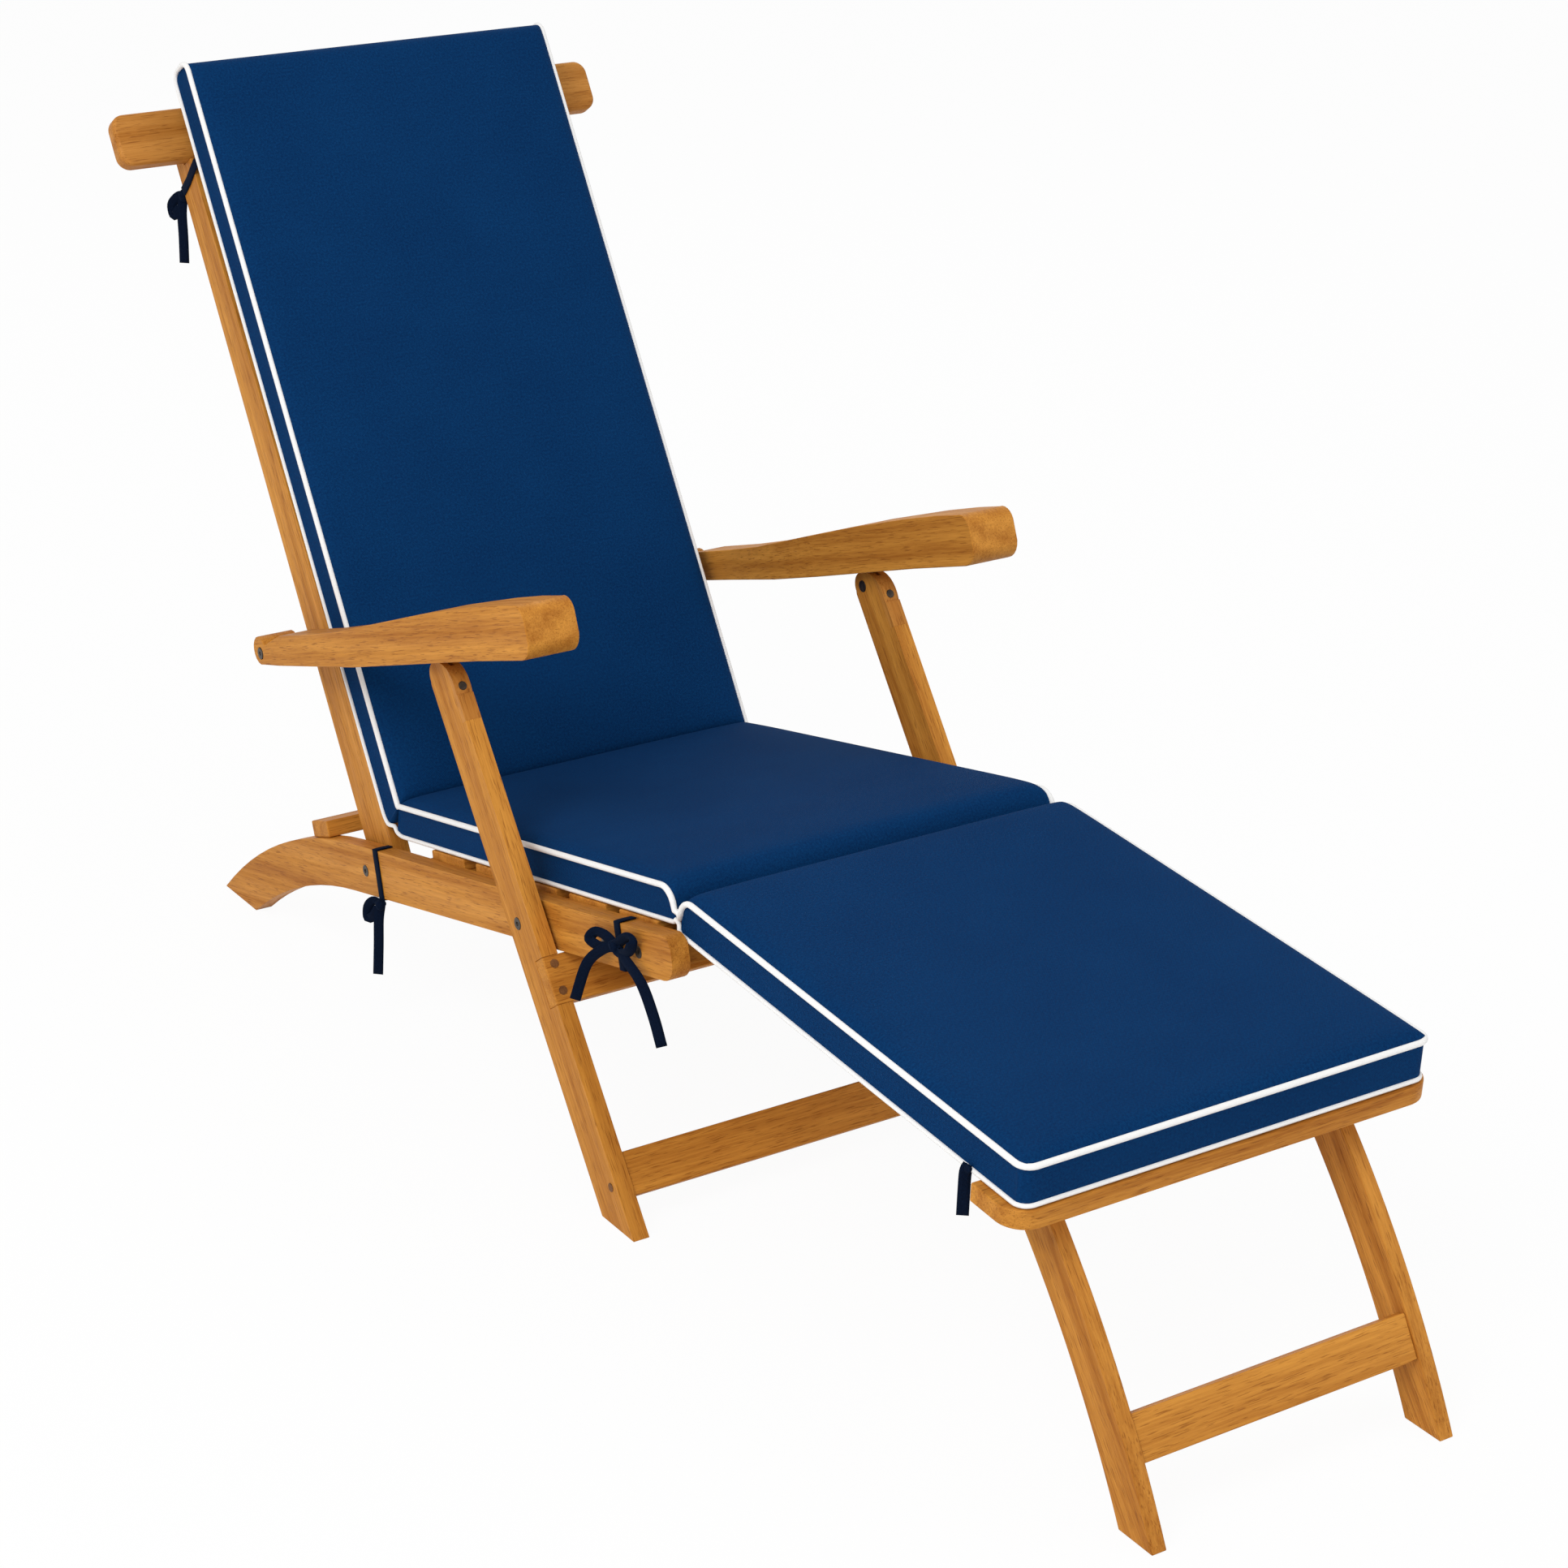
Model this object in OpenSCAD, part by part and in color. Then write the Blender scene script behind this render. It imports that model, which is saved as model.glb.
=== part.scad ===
// Folding wooden chaise longue with a three-section tied cushion.
// Millimetres. X is the width, the foot end points to -Y, Z is up, and the chair stands on Z = 0.
// Side profiles are drawn in the plane of Y and Z, then extruded along X.

/* [Cushion] */
// Width of the cushion between the centres of its piping
cushion_w = 445; // [430:1:452]
// Height of the back section's side between its two pipings
back_cushion_t = 42; // [32:1:44]
// Height of the seat section's side between its two pipings
seat_cushion_t = 34; // [30:1:40]
// Height of the footrest section's side between its two pipings
foot_cushion_t = 38; // [30:1:42]
// Diameter of the piping
piping_d = 6; // [4:0.5:7]
// Rise of the cushion's crown above the piping
crown = 9; // [4:1:12]
// Corner radius of the cushion seen from above
cushion_corner = 24; // [16:1:30]
// Length of the back section
back_length = 846; // [820:1:856]
// Length of the seat section
seat_length = 587; // [570:1:590]
// Length of the footrest section
footrest_length = 548; // [520:1:552]
// Width of the tie tapes
tape_w = 12; // [8:1:14]

/* [Seat frame] */
// Height of the back pivot above the floor
pivot_z = 164; // [160:1:170]
// Distance between the back pivot and the leg pivot
pivot_span = 402.8; // [396:0.1:410]
// Slope of the seat rails above level, in degrees
seat_slope = 13.3; // [13:0.1:13.6]
// Thickness of the seat rails
rail_t = 20; // [16:1:22]
// Depth of the seat rails at the rear
rail_depth = 54; // [50:1:56]
// Loss of depth of the rails at their front end
rail_taper = 9; // [4:1:12]
// Length of the rails in front of the cushion's seat section
rail_front = 19; // [11:1:27]
// Radius of the curved rear foot along its centre line
foot_radius = 760; // [740:5:780]
// Width of the seat slats
seat_slat_w = 75; // [60:1:84]
// Thickness of all the slats
slat_t = 12; // [10:0.5:14]

/* [Back frame] */
// Angle of the stiles above level, in degrees
stile_angle = 59; // [58:0.5:60]
// Thickness of the stiles
stile_t = 19; // [16:1:20]
// Depth of the stiles at the back pivot
stile_depth = 62; // [58:1:64]
// Depth that the stiles lose towards the head
stile_taper = 19; // [16:1:22]
// Length of the stiles above the pivot
stile_length = 868; // [860:1:872]
// Length of the head rail
head_rail_l = 602; // [590:1:620]
// Height of the head rail
head_rail_h = 60; // [50:1:66]
// Thickness of the head rail
head_rail_t = 21; // [18:1:26]
// Width of the back slats
back_slat_w = 72; // [60:1:80]

/* [Arms and main legs] */
// Length of the link from the back pivot to the arm's rear pivot
link_length = 265; // [262:0.5:268]
// Angle of that link above level, in degrees
link_angle = 53.4; // [53:0.1:54]
// Width of the arms at the front
arm_w = 56; // [50:1:60]
// Width that the arms lose on the inner side towards the rear
arm_taper = 14; // [8:1:18]
// Thickness of the main legs
leg_t = 18; // [15:1:20]
// Depth of the main legs
leg_depth = 50; // [46:1:52]
// Angle of the main legs above level, in degrees
leg_angle = 54.3; // [53.5:0.1:55]

/* [Footrest] */
// Slope of the footrest below level, in degrees
footrest_slope = 4.1; // [3.6:0.1:4.6]
// Width of the footrest's end board
end_board_l = 464; // [456:1:476]
// Thickness of the end board
end_board_t = 18.5; // [16:0.5:20]
// Thickness of the footrest's legs
foot_leg_t = 16; // [13:1:18]
// Depth of the footrest's legs
foot_leg_depth = 42; // [38:1:44]
// Centre-line radius of the footrest's curved legs
foot_leg_radius = 1000; // [900:10:1100]

/* [Fasteners] */
// Diameter of the pivot bolts' shanks
bolt_d = 8; // [6:0.5:9]
// Diameter of the bolts' heads
bolt_head_d = 13; // [11:0.5:14]
// Radial clearance of the turning bores
bore_gap = 0.1; // [0.05:0.01:0.15]

/* [Hidden] */
$fn = 64;
fit_gap = 0.3;
piping_r = piping_d / 2;
// Distance from the piping's centre plane to the wood that carries the cushion
cushion_seat = piping_r + 0.5;

// Widths, from the centre plane outwards
side_gap = 4;
rail_x = cushion_w / 2 + piping_r + fit_gap;
rail_out = rail_x + rail_t;
stile_out = rail_x - side_gap;
stile_x = stile_out - stile_t;
leg_x = rail_out + side_gap;
leg_out = leg_x + leg_t;
arm_out = leg_out + 18;
arm_x = arm_out - arm_w;

// Directions along and across each tilted member
function along(angle) = [cos(angle), sin(angle)];
function across(angle) = [sin(angle), -cos(angle)];
function arc(centre, radius, from, to, steps) =
    [for (i = [0:steps]) centre + radius * along(from + (to - from) * i / steps)];

forward = along(180 - seat_slope);
rail_up = [sin(seat_slope), cos(seat_slope)];
up_back = along(stile_angle);
behind = across(stile_angle);

// Overall reach in Y, measured from the back pivot, which centres the chair on the origin
stile_rear = 33;
stile_front_drop = stile_taper / 750;
function stile_front(t) = -(stile_depth - stile_rear) + stile_front_drop * max(t - 60, 0);
head_rise = 13;
head_top_t = stile_length + head_rise;
head_bottom_t = head_top_t - head_rail_h;
reach_rear = head_top_t * up_back[0] + (stile_front(head_bottom_t) + head_rail_t) * behind[0];
reach_front = 1302;
pivot_y = (reach_front - reach_rear) / 2;

// The four pivots of the folding parallelogram, and points along the rail and the stile
back_pivot = [pivot_y, pivot_z];
leg_pivot = back_pivot + pivot_span * forward;
arm_rear_pivot = back_pivot + link_length * along(link_angle);
arm_front_pivot = leg_pivot + link_length * along(link_angle);
function on_rail(a, h) = back_pivot + a * forward + h * rail_up;
function on_stile(t, q) = back_pivot + t * up_back + q * behind;

// Where the folds of the cushion lie along the rail, and the rail's front end
crease_a = 58;
crease_gap = 4;
front_fold_a = crease_a + 2 * crease_gap + seat_length;
rail_end = front_fold_a + rail_front;

// The rail's top edge loses height towards the front
rail_half = rail_depth / 2;
function rail_top(a) = rail_half - rail_taper * max(a, 0) / rail_end;

// The front crossbar stands under the fold, with two bolts at each end
front_bar_inset = 19;
front_bar_a = front_fold_a - front_bar_inset;
crossbar_bolts = [front_bar_a - 91, front_bar_a - 26];

// The seat's slats stand a little proud of the rails at the rear
seat_drop = 0.027;
seat_plane_h = 38;
seat_angle = seat_slope - atan(seat_drop);
function seat_top(a) = on_rail(a, seat_plane_h - seat_drop * a);
seat_slats = 5;
first_seat_slat = 132;
seat_slat_end = front_bar_a - 19;
seat_slat_pitch = (seat_slat_end - seat_slat_w - first_seat_slat) / (seat_slats - 1);
cleat_w = 18;
cleat_h = 26;
carry = slat_t + 0.05;

// The stile's front edge, which carries the cushion's back
back_face_angle = stile_angle - atan(stile_front_drop);
back_slats = 7;
first_back_slat = 118;
back_slat_end = head_bottom_t - 43;
back_slat_pitch = (back_slat_end - back_slat_w - first_back_slat) / (back_slats - 1);

// The crease where the back and seat sections of the cushion meet
crease = seat_top(crease_a) + (cushion_seat + seat_cushion_t) * rail_up;
seat_along = along(180 - seat_angle);
seat_across = [sin(seat_angle), cos(seat_angle)];
back_along = along(back_face_angle);
back_across = across(back_face_angle);

// The footrest hangs on pins in front of the seat's front crossbar
foot_along = along(180 + footrest_slope);
foot_up = [-sin(footrest_slope), cos(footrest_slope)];
front_crease = crease + (crease_gap + seat_length + crease_gap) * seat_along;
foot_step = 4;
foot_gap = 12;
foot_rail_x = 134;
foot_rail_t = 18;
foot_rail_h = 36;
foot_plane = front_crease - (foot_step + foot_cushion_t + cushion_seat) * foot_up;
function on_footrest(a, h) = foot_plane + a * foot_along + h * foot_up;
hinge_offset = 42;
footrest_pivot = on_footrest(hinge_offset, -slat_t - foot_rail_h / 2);
footrest_slats = 5;
first_foot_slat = 62;
foot_slat_w = 70;
foot_slat_l = 400;
foot_end = foot_gap + footrest_length + 5;
foot_slat_end = foot_end - 89;
foot_slat_pitch = (foot_slat_end - foot_slat_w - first_foot_slat) / (footrest_slats - 1);
end_board_w = 64;
end_board_corner = 28;

// The footrest's legs turn on bolts under the end board
foot_leg_drop = 45;
foot_leg_pivot = on_footrest(foot_end - 60, -foot_leg_drop);
foot_leg_x = foot_rail_x + foot_rail_t + 1;
foot_leg_tip = [pivot_y - reach_front, 0];
foot_leg_outer = foot_leg_radius + foot_leg_depth / 2;
foot_leg_chord = foot_leg_pivot - foot_leg_tip;
foot_leg_tilt = atan2(foot_leg_chord[1], foot_leg_chord[0]);
foot_leg_foot = (pow(foot_leg_radius, 2) - pow(foot_leg_outer, 2) + pow(norm(foot_leg_chord), 2))
    / (2 * norm(foot_leg_chord));
foot_leg_centre = foot_leg_pivot - foot_leg_foot * along(foot_leg_tilt)
    + sqrt(pow(foot_leg_radius, 2) - pow(foot_leg_foot, 2)) * across(foot_leg_tilt);

// The main legs, with the pivot line a little behind their middle
leg_rear = 20.6;
leg_front = leg_rear - leg_depth;
leg_up = along(leg_angle);
leg_behind = across(leg_angle);
function on_leg(w, q) = leg_pivot + w * leg_up + q * leg_behind;

// Colours
teak = [0.76, 0.52, 0.27];
navy = [0.03, 0.13, 0.30];
tape_navy = [0.02, 0.05, 0.12];
cord_white = [0.93, 0.93, 0.91];
bronze = [0.22, 0.18, 0.14];
brass = [0.62, 0.50, 0.28];

// A side profile in Y and Z, made thick along X from x0 outwards on one side
module plate(x0, t, side = 1) {
    translate([side > 0 ? x0 : -x0 - t, 0, 0])
        rotate([90, 0, 90])
            linear_extrude(t) children();
}

// A round bar along X, from one x to another, at a point of the side profile
module pin(at, d, x0, x1) {
    translate([min(x0, x1), at[0], at[1]])
        rotate([0, 90, 0])
            cylinder(d = d, h = abs(x1 - x0));
}

// Places a flat drawing's origin at a point of the side profile, with its x axis at an angle
module at_point(p, angle) {
    translate(p) rotate(angle) children();
}

// A board across the chair: along x by x0 to x1, its section lying at a point and angle
module cross_board(p, angle, width, height, x0, x1) {
    translate([x0, 0, 0])
        rotate([90, 0, 90])
            linear_extrude(x1 - x0)
                at_point(p, angle) translate([0, min(height, 0)]) square([width, abs(height)]);
}

module both_sides() {
    children();
    mirror([1, 0, 0]) children();
}

// Seat rail: a tapering bar that ends behind in a curved foot, cut flat at the floor
tail_a = -40;
tail_centre = on_rail(tail_a, 0) - foot_radius * rail_up;
module rail_profile() {
    nose = 14;
    top_angle = asin(-tail_centre[1] / (foot_radius + rail_half));
    low_angle = asin(-tail_centre[1] / (foot_radius - rail_half));
    tail_angle = 90 - seat_slope;
    low_r = 20;
    top_nose = on_rail(rail_end - nose, rail_top(rail_end) - nose);
    low_nose = on_rail(rail_end - low_r, -rail_half + low_r);
    tilt = 180 - seat_slope;
    polygon(concat(
        arc(tail_centre, foot_radius - rail_half, low_angle, tail_angle, 10),
        arc(low_nose, low_r, tilt + 90, tilt, 6),
        arc(top_nose, nose, tilt, tilt - 90, 6),
        [on_rail(0, rail_half)],
        arc(tail_centre, foot_radius + rail_half, tail_angle, top_angle, 12)
    ));
}

module seat_rail(side) {
    color(teak)
        difference() {
            plate(rail_x, rail_t, side) rail_profile();
            pin(back_pivot, bolt_d + 2 * bore_gap, side * (rail_x - 1), side * (rail_out + 1));
            pin(leg_pivot, bolt_d + 2 * bore_gap, side * (rail_x - 1), side * (rail_out + 1));
            for (a = crossbar_bolts)
                pin(on_rail(a, crossbar_bolt_h), bolt_d + 2 * bore_gap,
                    side * (rail_x - 1), side * (rail_out + 1));
            for (at = concat([back_pivot], [for (a = crossbar_bolts) on_rail(a, crossbar_bolt_h)]))
                pin(at, bolt_head_d + 2 * bore_gap, side * (rail_out - head_sink), side * (rail_out + 1));
        }
}

crossbar_bolt_h = -5;
head_sink = 3;
head_h = 3.6;
nut_t = 3;

// Front crossbar: a board between the rails with a tenon block at each end for its two bolts
front_bar_t = 18;
front_bar_low = -18;
front_bar_drop = 9;
module front_crossbar() {
    color(teak)
        difference() {
            union() {
                cross_board(on_rail(front_bar_a + front_bar_t, front_bar_low), -seat_slope,
                    front_bar_t, rail_top(front_bar_a) - front_bar_low - front_bar_drop, -rail_x, rail_x);
                both_sides()
                    plate(rail_x - block_t, block_t)
                        polygon([
                            on_rail(front_bar_a, front_bar_low), seat_top(front_bar_a) - carry * seat_across,
                            seat_top(block_rear) - carry * seat_across, on_rail(block_rear, front_bar_low)
                        ]);
            }
            for (a = crossbar_bolts, side = [-1, 1])
                pin(on_rail(a, crossbar_bolt_h), bolt_d + 2 * bore_gap,
                    side * (rail_x - block_t - 1), side * (rail_x + 1));
        }
}
block_t = 22;
block_rear = crossbar_bolts[0] - 18;

// Rear crossbar: lies on top of both rails behind the back
rear_bar_w = 42;
rear_bar_t = 19;
rear_bar_angle = 71.1;
module rear_crossbar() {
    middle = tail_centre + (foot_radius + rail_half + fit_gap / 2) * along(rear_bar_angle);
    color(teak)
        cross_board(middle - rear_bar_w / 2 * along(rear_bar_angle - 90), rear_bar_angle - 90,
            rear_bar_w, rear_bar_t, -rail_out + 4, rail_out - 4);
}

// Seat cleat: a batten on the rail's inner face that carries the slats' ends
cleat_rear = 118;
cleat_front = block_rear - 4;
module seat_cleat(side) {
    low = carry + cleat_h;
    color(teak)
        difference() {
            plate(rail_x - cleat_w, cleat_w, side)
                polygon([
                    seat_top(cleat_rear) - carry * seat_across, seat_top(cleat_front) - carry * seat_across,
                    seat_top(cleat_front) - low * seat_across, seat_top(cleat_rear) - low * seat_across
                ]);
            pin(leg_pivot, bolt_head_d + 2, side * (rail_x - nut_t - 4), side * (rail_x + 1));
        }
}

module seat_slat(i) {
    a = first_seat_slat + (i - 1) * seat_slat_pitch;
    color(teak)
        cross_board(seat_top(a) - slat_t * seat_across, 180 - seat_angle, seat_slat_w, -slat_t,
            -rail_x + 1, rail_x - 1);
}

// A barrel-headed bolt along X with its head at the outer end
module bolt(at, x_in, x_out) {
    pin(at, bolt_d, x_in, x_out);
    difference() {
        pin(at, bolt_head_d, x_out, x_out + head_h);
        pin(at, bolt_d * 0.55, x_out + head_h - 1.6, x_out + head_h + 1);
    }
}

// A plain washer ring along X
module washer(at, d, x0, x1) {
    difference() {
        pin(at, d, x0, x1);
        pin(at, bolt_d + 2 * bore_gap, x0 - 1, x1 + 1);
    }
}

washer_d = 22;
module rail_bolts() {
    color(bronze)
        both_sides() {
            bolt(back_pivot, stile_x - nut_t, rail_out - head_sink);
            pin(back_pivot, bolt_head_d, stile_x - nut_t, stile_x - 0.1);
            washer(back_pivot, washer_d, stile_out + 0.2, rail_x);
            for (a = crossbar_bolts)
                bolt(on_rail(a, crossbar_bolt_h), rail_x - block_t + 2, rail_out - head_sink);
        }
}

module leg_pivot_bolts() {
    color(bronze)
        both_sides() {
            bolt(leg_pivot, rail_x - nut_t, leg_out - head_sink);
            pin(leg_pivot, bolt_head_d, rail_x - nut_t, rail_x);
            washer(leg_pivot, washer_d, rail_out + 0.2, leg_x - 0.2);
        }
}

// Back stile: straight, tapering to the head, flared to a foot in front of the pivot
stile_foot = 34;
stile_flare = 6;
module stile_profile() {
    top = stile_length - 0.5;
    polygon([
        on_stile(-stile_foot, stile_rear - 14), on_stile(12 - stile_foot, stile_rear),
        on_stile(top, stile_rear), on_stile(top, head_lap_q),
        on_stile(head_bottom_t, head_lap_q), on_stile(head_bottom_t, stile_front(head_bottom_t)),
        on_stile(60, stile_front(60)), on_stile(34, stile_front(0) - stile_flare),
        on_stile(-6, stile_front(0) - stile_flare + 2), on_stile(-stile_foot, stile_front(0) + 18)
    ]);
}
head_lap_q = stile_front(stile_length) + head_rail_t + 0.2;

module back_stile(side) {
    color(teak)
        difference() {
            plate(stile_x, stile_t, side) stile_profile();
            pin(back_pivot, bolt_d + 2 * bore_gap, side * (stile_x - 1), side * (stile_out + 1));
            pin(arm_rear_pivot, bolt_d + 2 * bore_gap, side * (stile_x - 1), side * (stile_out + 1));
        }
}

// Head rail: a long board with rounded ends, lapped over the tops of the stiles
module head_rail() {
    radius = 15;
    half = head_rail_l / 2 - radius;
    origin = on_stile(head_bottom_t, stile_front(head_bottom_t));
    color(teak)
        translate([0, origin[0], origin[1]])
            rotate([stile_angle - 90, 0, 0])
                rotate([90, 0, 0])
                    translate([0, 0, -head_rail_t])
                        linear_extrude(head_rail_t)
                            union() {
                                translate([-half, 0]) square([2 * half, head_rail_h]);
                                translate([-head_rail_l / 2, radius])
                                    square([head_rail_l, head_rail_h - 2 * radius]);
                                for (x = [-half, half], z = [radius, head_rail_h - radius])
                                    translate([x, z]) circle(radius);
                            }
}

module back_slat(i) {
    t = first_back_slat + (i - 1) * back_slat_pitch;
    color(teak)
        cross_board(on_stile(t, stile_front(t)), back_face_angle, back_slat_w, -slat_t, -stile_x, stile_x);
}

module arm_pivot_bolts() {
    color(bronze)
        both_sides() {
            bolt(arm_rear_pivot, stile_x - nut_t, arm_out - head_sink);
            pin(arm_rear_pivot, bolt_head_d, stile_x - nut_t, stile_x - 0.1);
        }
}

module arm_spacers() {
    color(brass)
        both_sides()
            washer(arm_rear_pivot, washer_d, stile_out, arm_x + arm_taper - 0.4);
}

// Armrest: drawn from the side around its rear pivot, then cut to its outline seen from above
arm_slope = 18.5;
arm_forward = along(180 - arm_slope);
arm_up = [sin(arm_slope), cos(arm_slope)];
function on_arm(a, h) = arm_rear_pivot + a * arm_forward + h * arm_up;
module arm_profile() {
    rear_r = 16;
    nose_r = 17;
    polygon(concat(
        arc(on_arm(-1, 3), rear_r, 160 - arm_slope, -100 - arm_slope, 12),
        [on_arm(45, -15), on_arm(140, -18), on_arm(239, -20.5), on_arm(428, -20.5), on_arm(536, -20)],
        arc(on_arm(635, -1.5), 20, 270 - arm_slope, 190 - arm_slope, 5),
        arc(on_arm(637, 15), nose_r, 170 - arm_slope, 80 - arm_slope, 6),
        [on_arm(596, 33), on_arm(540, 33), on_arm(430, 30), on_arm(315, 24), on_arm(210, 18),
         on_arm(140, 17), on_arm(60, 18)]
    ));
}

module arm_plan() {
    polygon([
        [arm_x, arm_rear_pivot[0] - 700], [arm_out, arm_rear_pivot[0] - 700],
        [arm_out, arm_rear_pivot[0] + 40], [arm_x + arm_taper, arm_rear_pivot[0] + 40],
        [arm_x + arm_taper, arm_rear_pivot[0] - 130], [arm_x, arm_rear_pivot[0] - 330]
    ]);
}

module arm(side) {
    color(teak)
        difference() {
            intersection() {
                plate(arm_x - 1, arm_w + 2, side) arm_profile();
                mirror([side > 0 ? 0 : 1, 0, 0]) linear_extrude(900) arm_plan();
            }
            pin(arm_rear_pivot, bolt_d + 2 * bore_gap, side * (arm_x - 1), side * (arm_out + 1));
            pin(arm_rear_pivot, bolt_head_d + 2 * bore_gap,
                side * (arm_out - head_sink - 0.1), side * (arm_out + 1));
        }
}

// Arm hinge: a steel tongue under the arm that runs in a slot in the leg's top
tongue_t = 3;
tongue_r = 9;
slot_gap = 0.6;
leg_mid = leg_x + leg_t / 2;
module arm_hinge(side) {
    color(brass)
        difference() {
            union() {
                plate(leg_mid - tongue_t / 2, tongue_t, side)
                    union() {
                        translate(arm_front_pivot) circle(tongue_r);
                        at_point(arm_front_pivot, 90 - arm_slope)
                            translate([0, -tongue_r]) square([arm_under_gap, 2 * tongue_r]);
                    }
            }
            pin(arm_front_pivot, pin_d + 2 * pin_gap, side * (leg_x - 1), side * (leg_out + 1));
        }
}
pin_d = 6;
pin_gap = 0.5;
// Distance from the front pivot up to the arm's underside, measured square to the arm
link_drop = (arm_rear_pivot - arm_front_pivot) * arm_up;
arm_under_gap = link_drop - 20.5;

// Main leg: cut flat at the floor, its top rounded in front and tucked under the arm
leg_top_gap = 1;
leg_top_front = 14;
waste = 200;
module leg_profile() {
    top = arm_under_gap - leg_top_gap;
    sole = -leg_pivot[1] / leg_up[1];
    corner = 34;
    difference() {
        polygon([
            on_leg(sole - 40, leg_rear), on_leg(link_length + 60, leg_rear),
            on_leg(link_length + 60, leg_front), on_leg(sole - 60, leg_front)
        ]);
        translate([leg_pivot[0] - 3 * waste, -waste]) square([6 * waste, waste]);
        at_point(arm_front_pivot + top * arm_up, -arm_slope)
            translate([-waste, 0]) square([2 * waste, waste]);
        at_point(arm_front_pivot, leg_angle)
            difference() {
                polygon([
                    [-leg_top_front, -leg_rear], [0, -top], [0, 0], [waste, 0],
                    [waste, -waste], [-leg_top_front, -waste]
                ]);
                circle(top);
            }
        leg_corner(corner, top);
    }
}

// The waste outside the rounded front corner of the leg's top
module leg_corner(radius, top) {
    under = arm_front_pivot + (top - radius) * arm_up;
    across_w = (on_leg(0, leg_front + radius) - under) * leg_behind;
    reach = across_w / (arm_forward * leg_behind);
    centre = under + reach * arm_forward;
    difference() {
        at_point(centre, 180 - arm_slope) translate([0, -120]) square([120, 120]);
        translate(centre) circle(radius);
    }
}

cap_t = 8;
cap_low = 207;
module cap_region() {
    at_point(on_leg(cap_low, leg_front - 1), leg_angle) translate([0, -cap_t - 1]) square([150, cap_t + 1]);
}

slot_r = 27;
module leg_slot() {
    translate(arm_front_pivot) circle(slot_r);
}

module main_leg(side) {
    color(teak)
        difference() {
            plate(leg_x, leg_t, side)
                difference() {
                    leg_profile();
                    cap_region();
                    stretcher_notch();
                }
            plate(leg_mid - tongue_t / 2 - slot_gap, tongue_t + 2 * slot_gap, side) leg_slot();
            pin(leg_pivot, bolt_d + 2 * bore_gap, side * (leg_x - 1), side * (leg_out + 1));
            pin(leg_pivot, bolt_head_d + 2 * bore_gap,
                side * (leg_out - head_sink - 0.1), side * (leg_out + 1));
            pin(arm_front_pivot, pin_d, side * (leg_x - 1), side * (leg_out - 3));
            pin(arm_front_pivot, bolt_head_d, side * (leg_x - 1), side * (leg_x + 2));
        }
}

// Leg caps: facing strips let into the front of each leg's top
module leg_caps() {
    color(teak)
        both_sides()
            difference() {
                plate(leg_x, leg_t) intersection() { leg_profile(); cap_region(); }
                cap_screw(cap_screw_d + 0.2, 2.3);
            }
}

// The screw's hole or its body, along the leg's depth
cap_screw_w = 243;
cap_screw_d = 9;
module cap_screw(d, deep) {
    at = on_leg(cap_screw_w, leg_front);
    translate([leg_mid, at[0], at[1]])
        rotate([leg_angle, 0, 0])
            translate([0, 0, -deep])
                cylinder(d = d, h = deep + 6);
}

module leg_cap_screws() {
    at = on_leg(cap_screw_w, leg_front);
    color(bronze)
        both_sides()
            translate([leg_mid, at[0], at[1]])
                rotate([leg_angle, 0, 0])
                    translate([0, 0, -2.2]) cylinder(d = cap_screw_d, h = 2.5);
}

module arm_link_pins() {
    color(bronze)
        both_sides() {
            pin(arm_front_pivot, pin_d, leg_x + 0.5, leg_out - 3);
            pin(arm_front_pivot, bolt_head_d, leg_x - 0.8, leg_x + 2);
        }
}

// Upper stretcher: let into the front of both legs, and the stop of the fold
upper_w = -43;
upper_h = 50;
stretcher_t = 18;
module stretcher_section() {
    at_point(on_leg(upper_w - upper_h, leg_front), leg_angle)
        translate([0, -stretcher_t]) square([upper_h, stretcher_t]);
}

module stretcher_notch() {
    at_point(on_leg(upper_w - upper_h, leg_front - 1), leg_angle)
        translate([0, -stretcher_t - 1]) square([upper_h, stretcher_t + 1]);
}

module upper_stretcher() {
    color(teak) plate(-leg_out, 2 * leg_out) stretcher_section();
}

lower_w = -249;
lower_h = 45;
module lower_stretcher() {
    color(teak)
        plate(-leg_x, 2 * leg_x)
            at_point(on_leg(lower_w - lower_h, leg_front + 2), leg_angle)
                translate([0, -stretcher_t]) square([lower_h, stretcher_t]);
}

plug_d = 9;
plug_rise = 0.6;
plug_margins = [9, 37];
module stretcher_plugs() {
    color([0.55, 0.36, 0.17])
        both_sides() {
            for (margin = plug_margins) {
                at = on_leg(upper_w - margin, leg_front);
                translate([leg_mid - 2, at[0], at[1]])
                    rotate([leg_angle, 0, 0])
                        cylinder(d = plug_d, h = plug_rise);
            }
            pin(on_leg(lower_w - 30, leg_front + 11), plug_d, leg_out, leg_out + plug_rise);
        }
}

// Footrest rail: a bar rounded about its hinge pin, deeper where it carries the leg's bolt
module foot_rail_profile() {
    half = foot_rail_h / 2;
    rail_tip = foot_end - 42;
    union() {
        translate(footrest_pivot) circle(half);
        polygon([
            on_footrest(hinge_offset, -slat_t), on_footrest(foot_end - end_board_w, -slat_t),
            on_footrest(foot_end - end_board_w, -end_board_t), on_footrest(rail_tip, -end_board_t),
            on_footrest(rail_tip, -foot_rail_low + 8), on_footrest(rail_tip - 8, -foot_rail_low),
            on_footrest(foot_end - 130, -foot_rail_low), on_footrest(foot_end - 200, -slat_t - foot_rail_h),
            on_footrest(hinge_offset, -slat_t - foot_rail_h)
        ]);
    }
}
foot_rail_low = 56;

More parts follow.
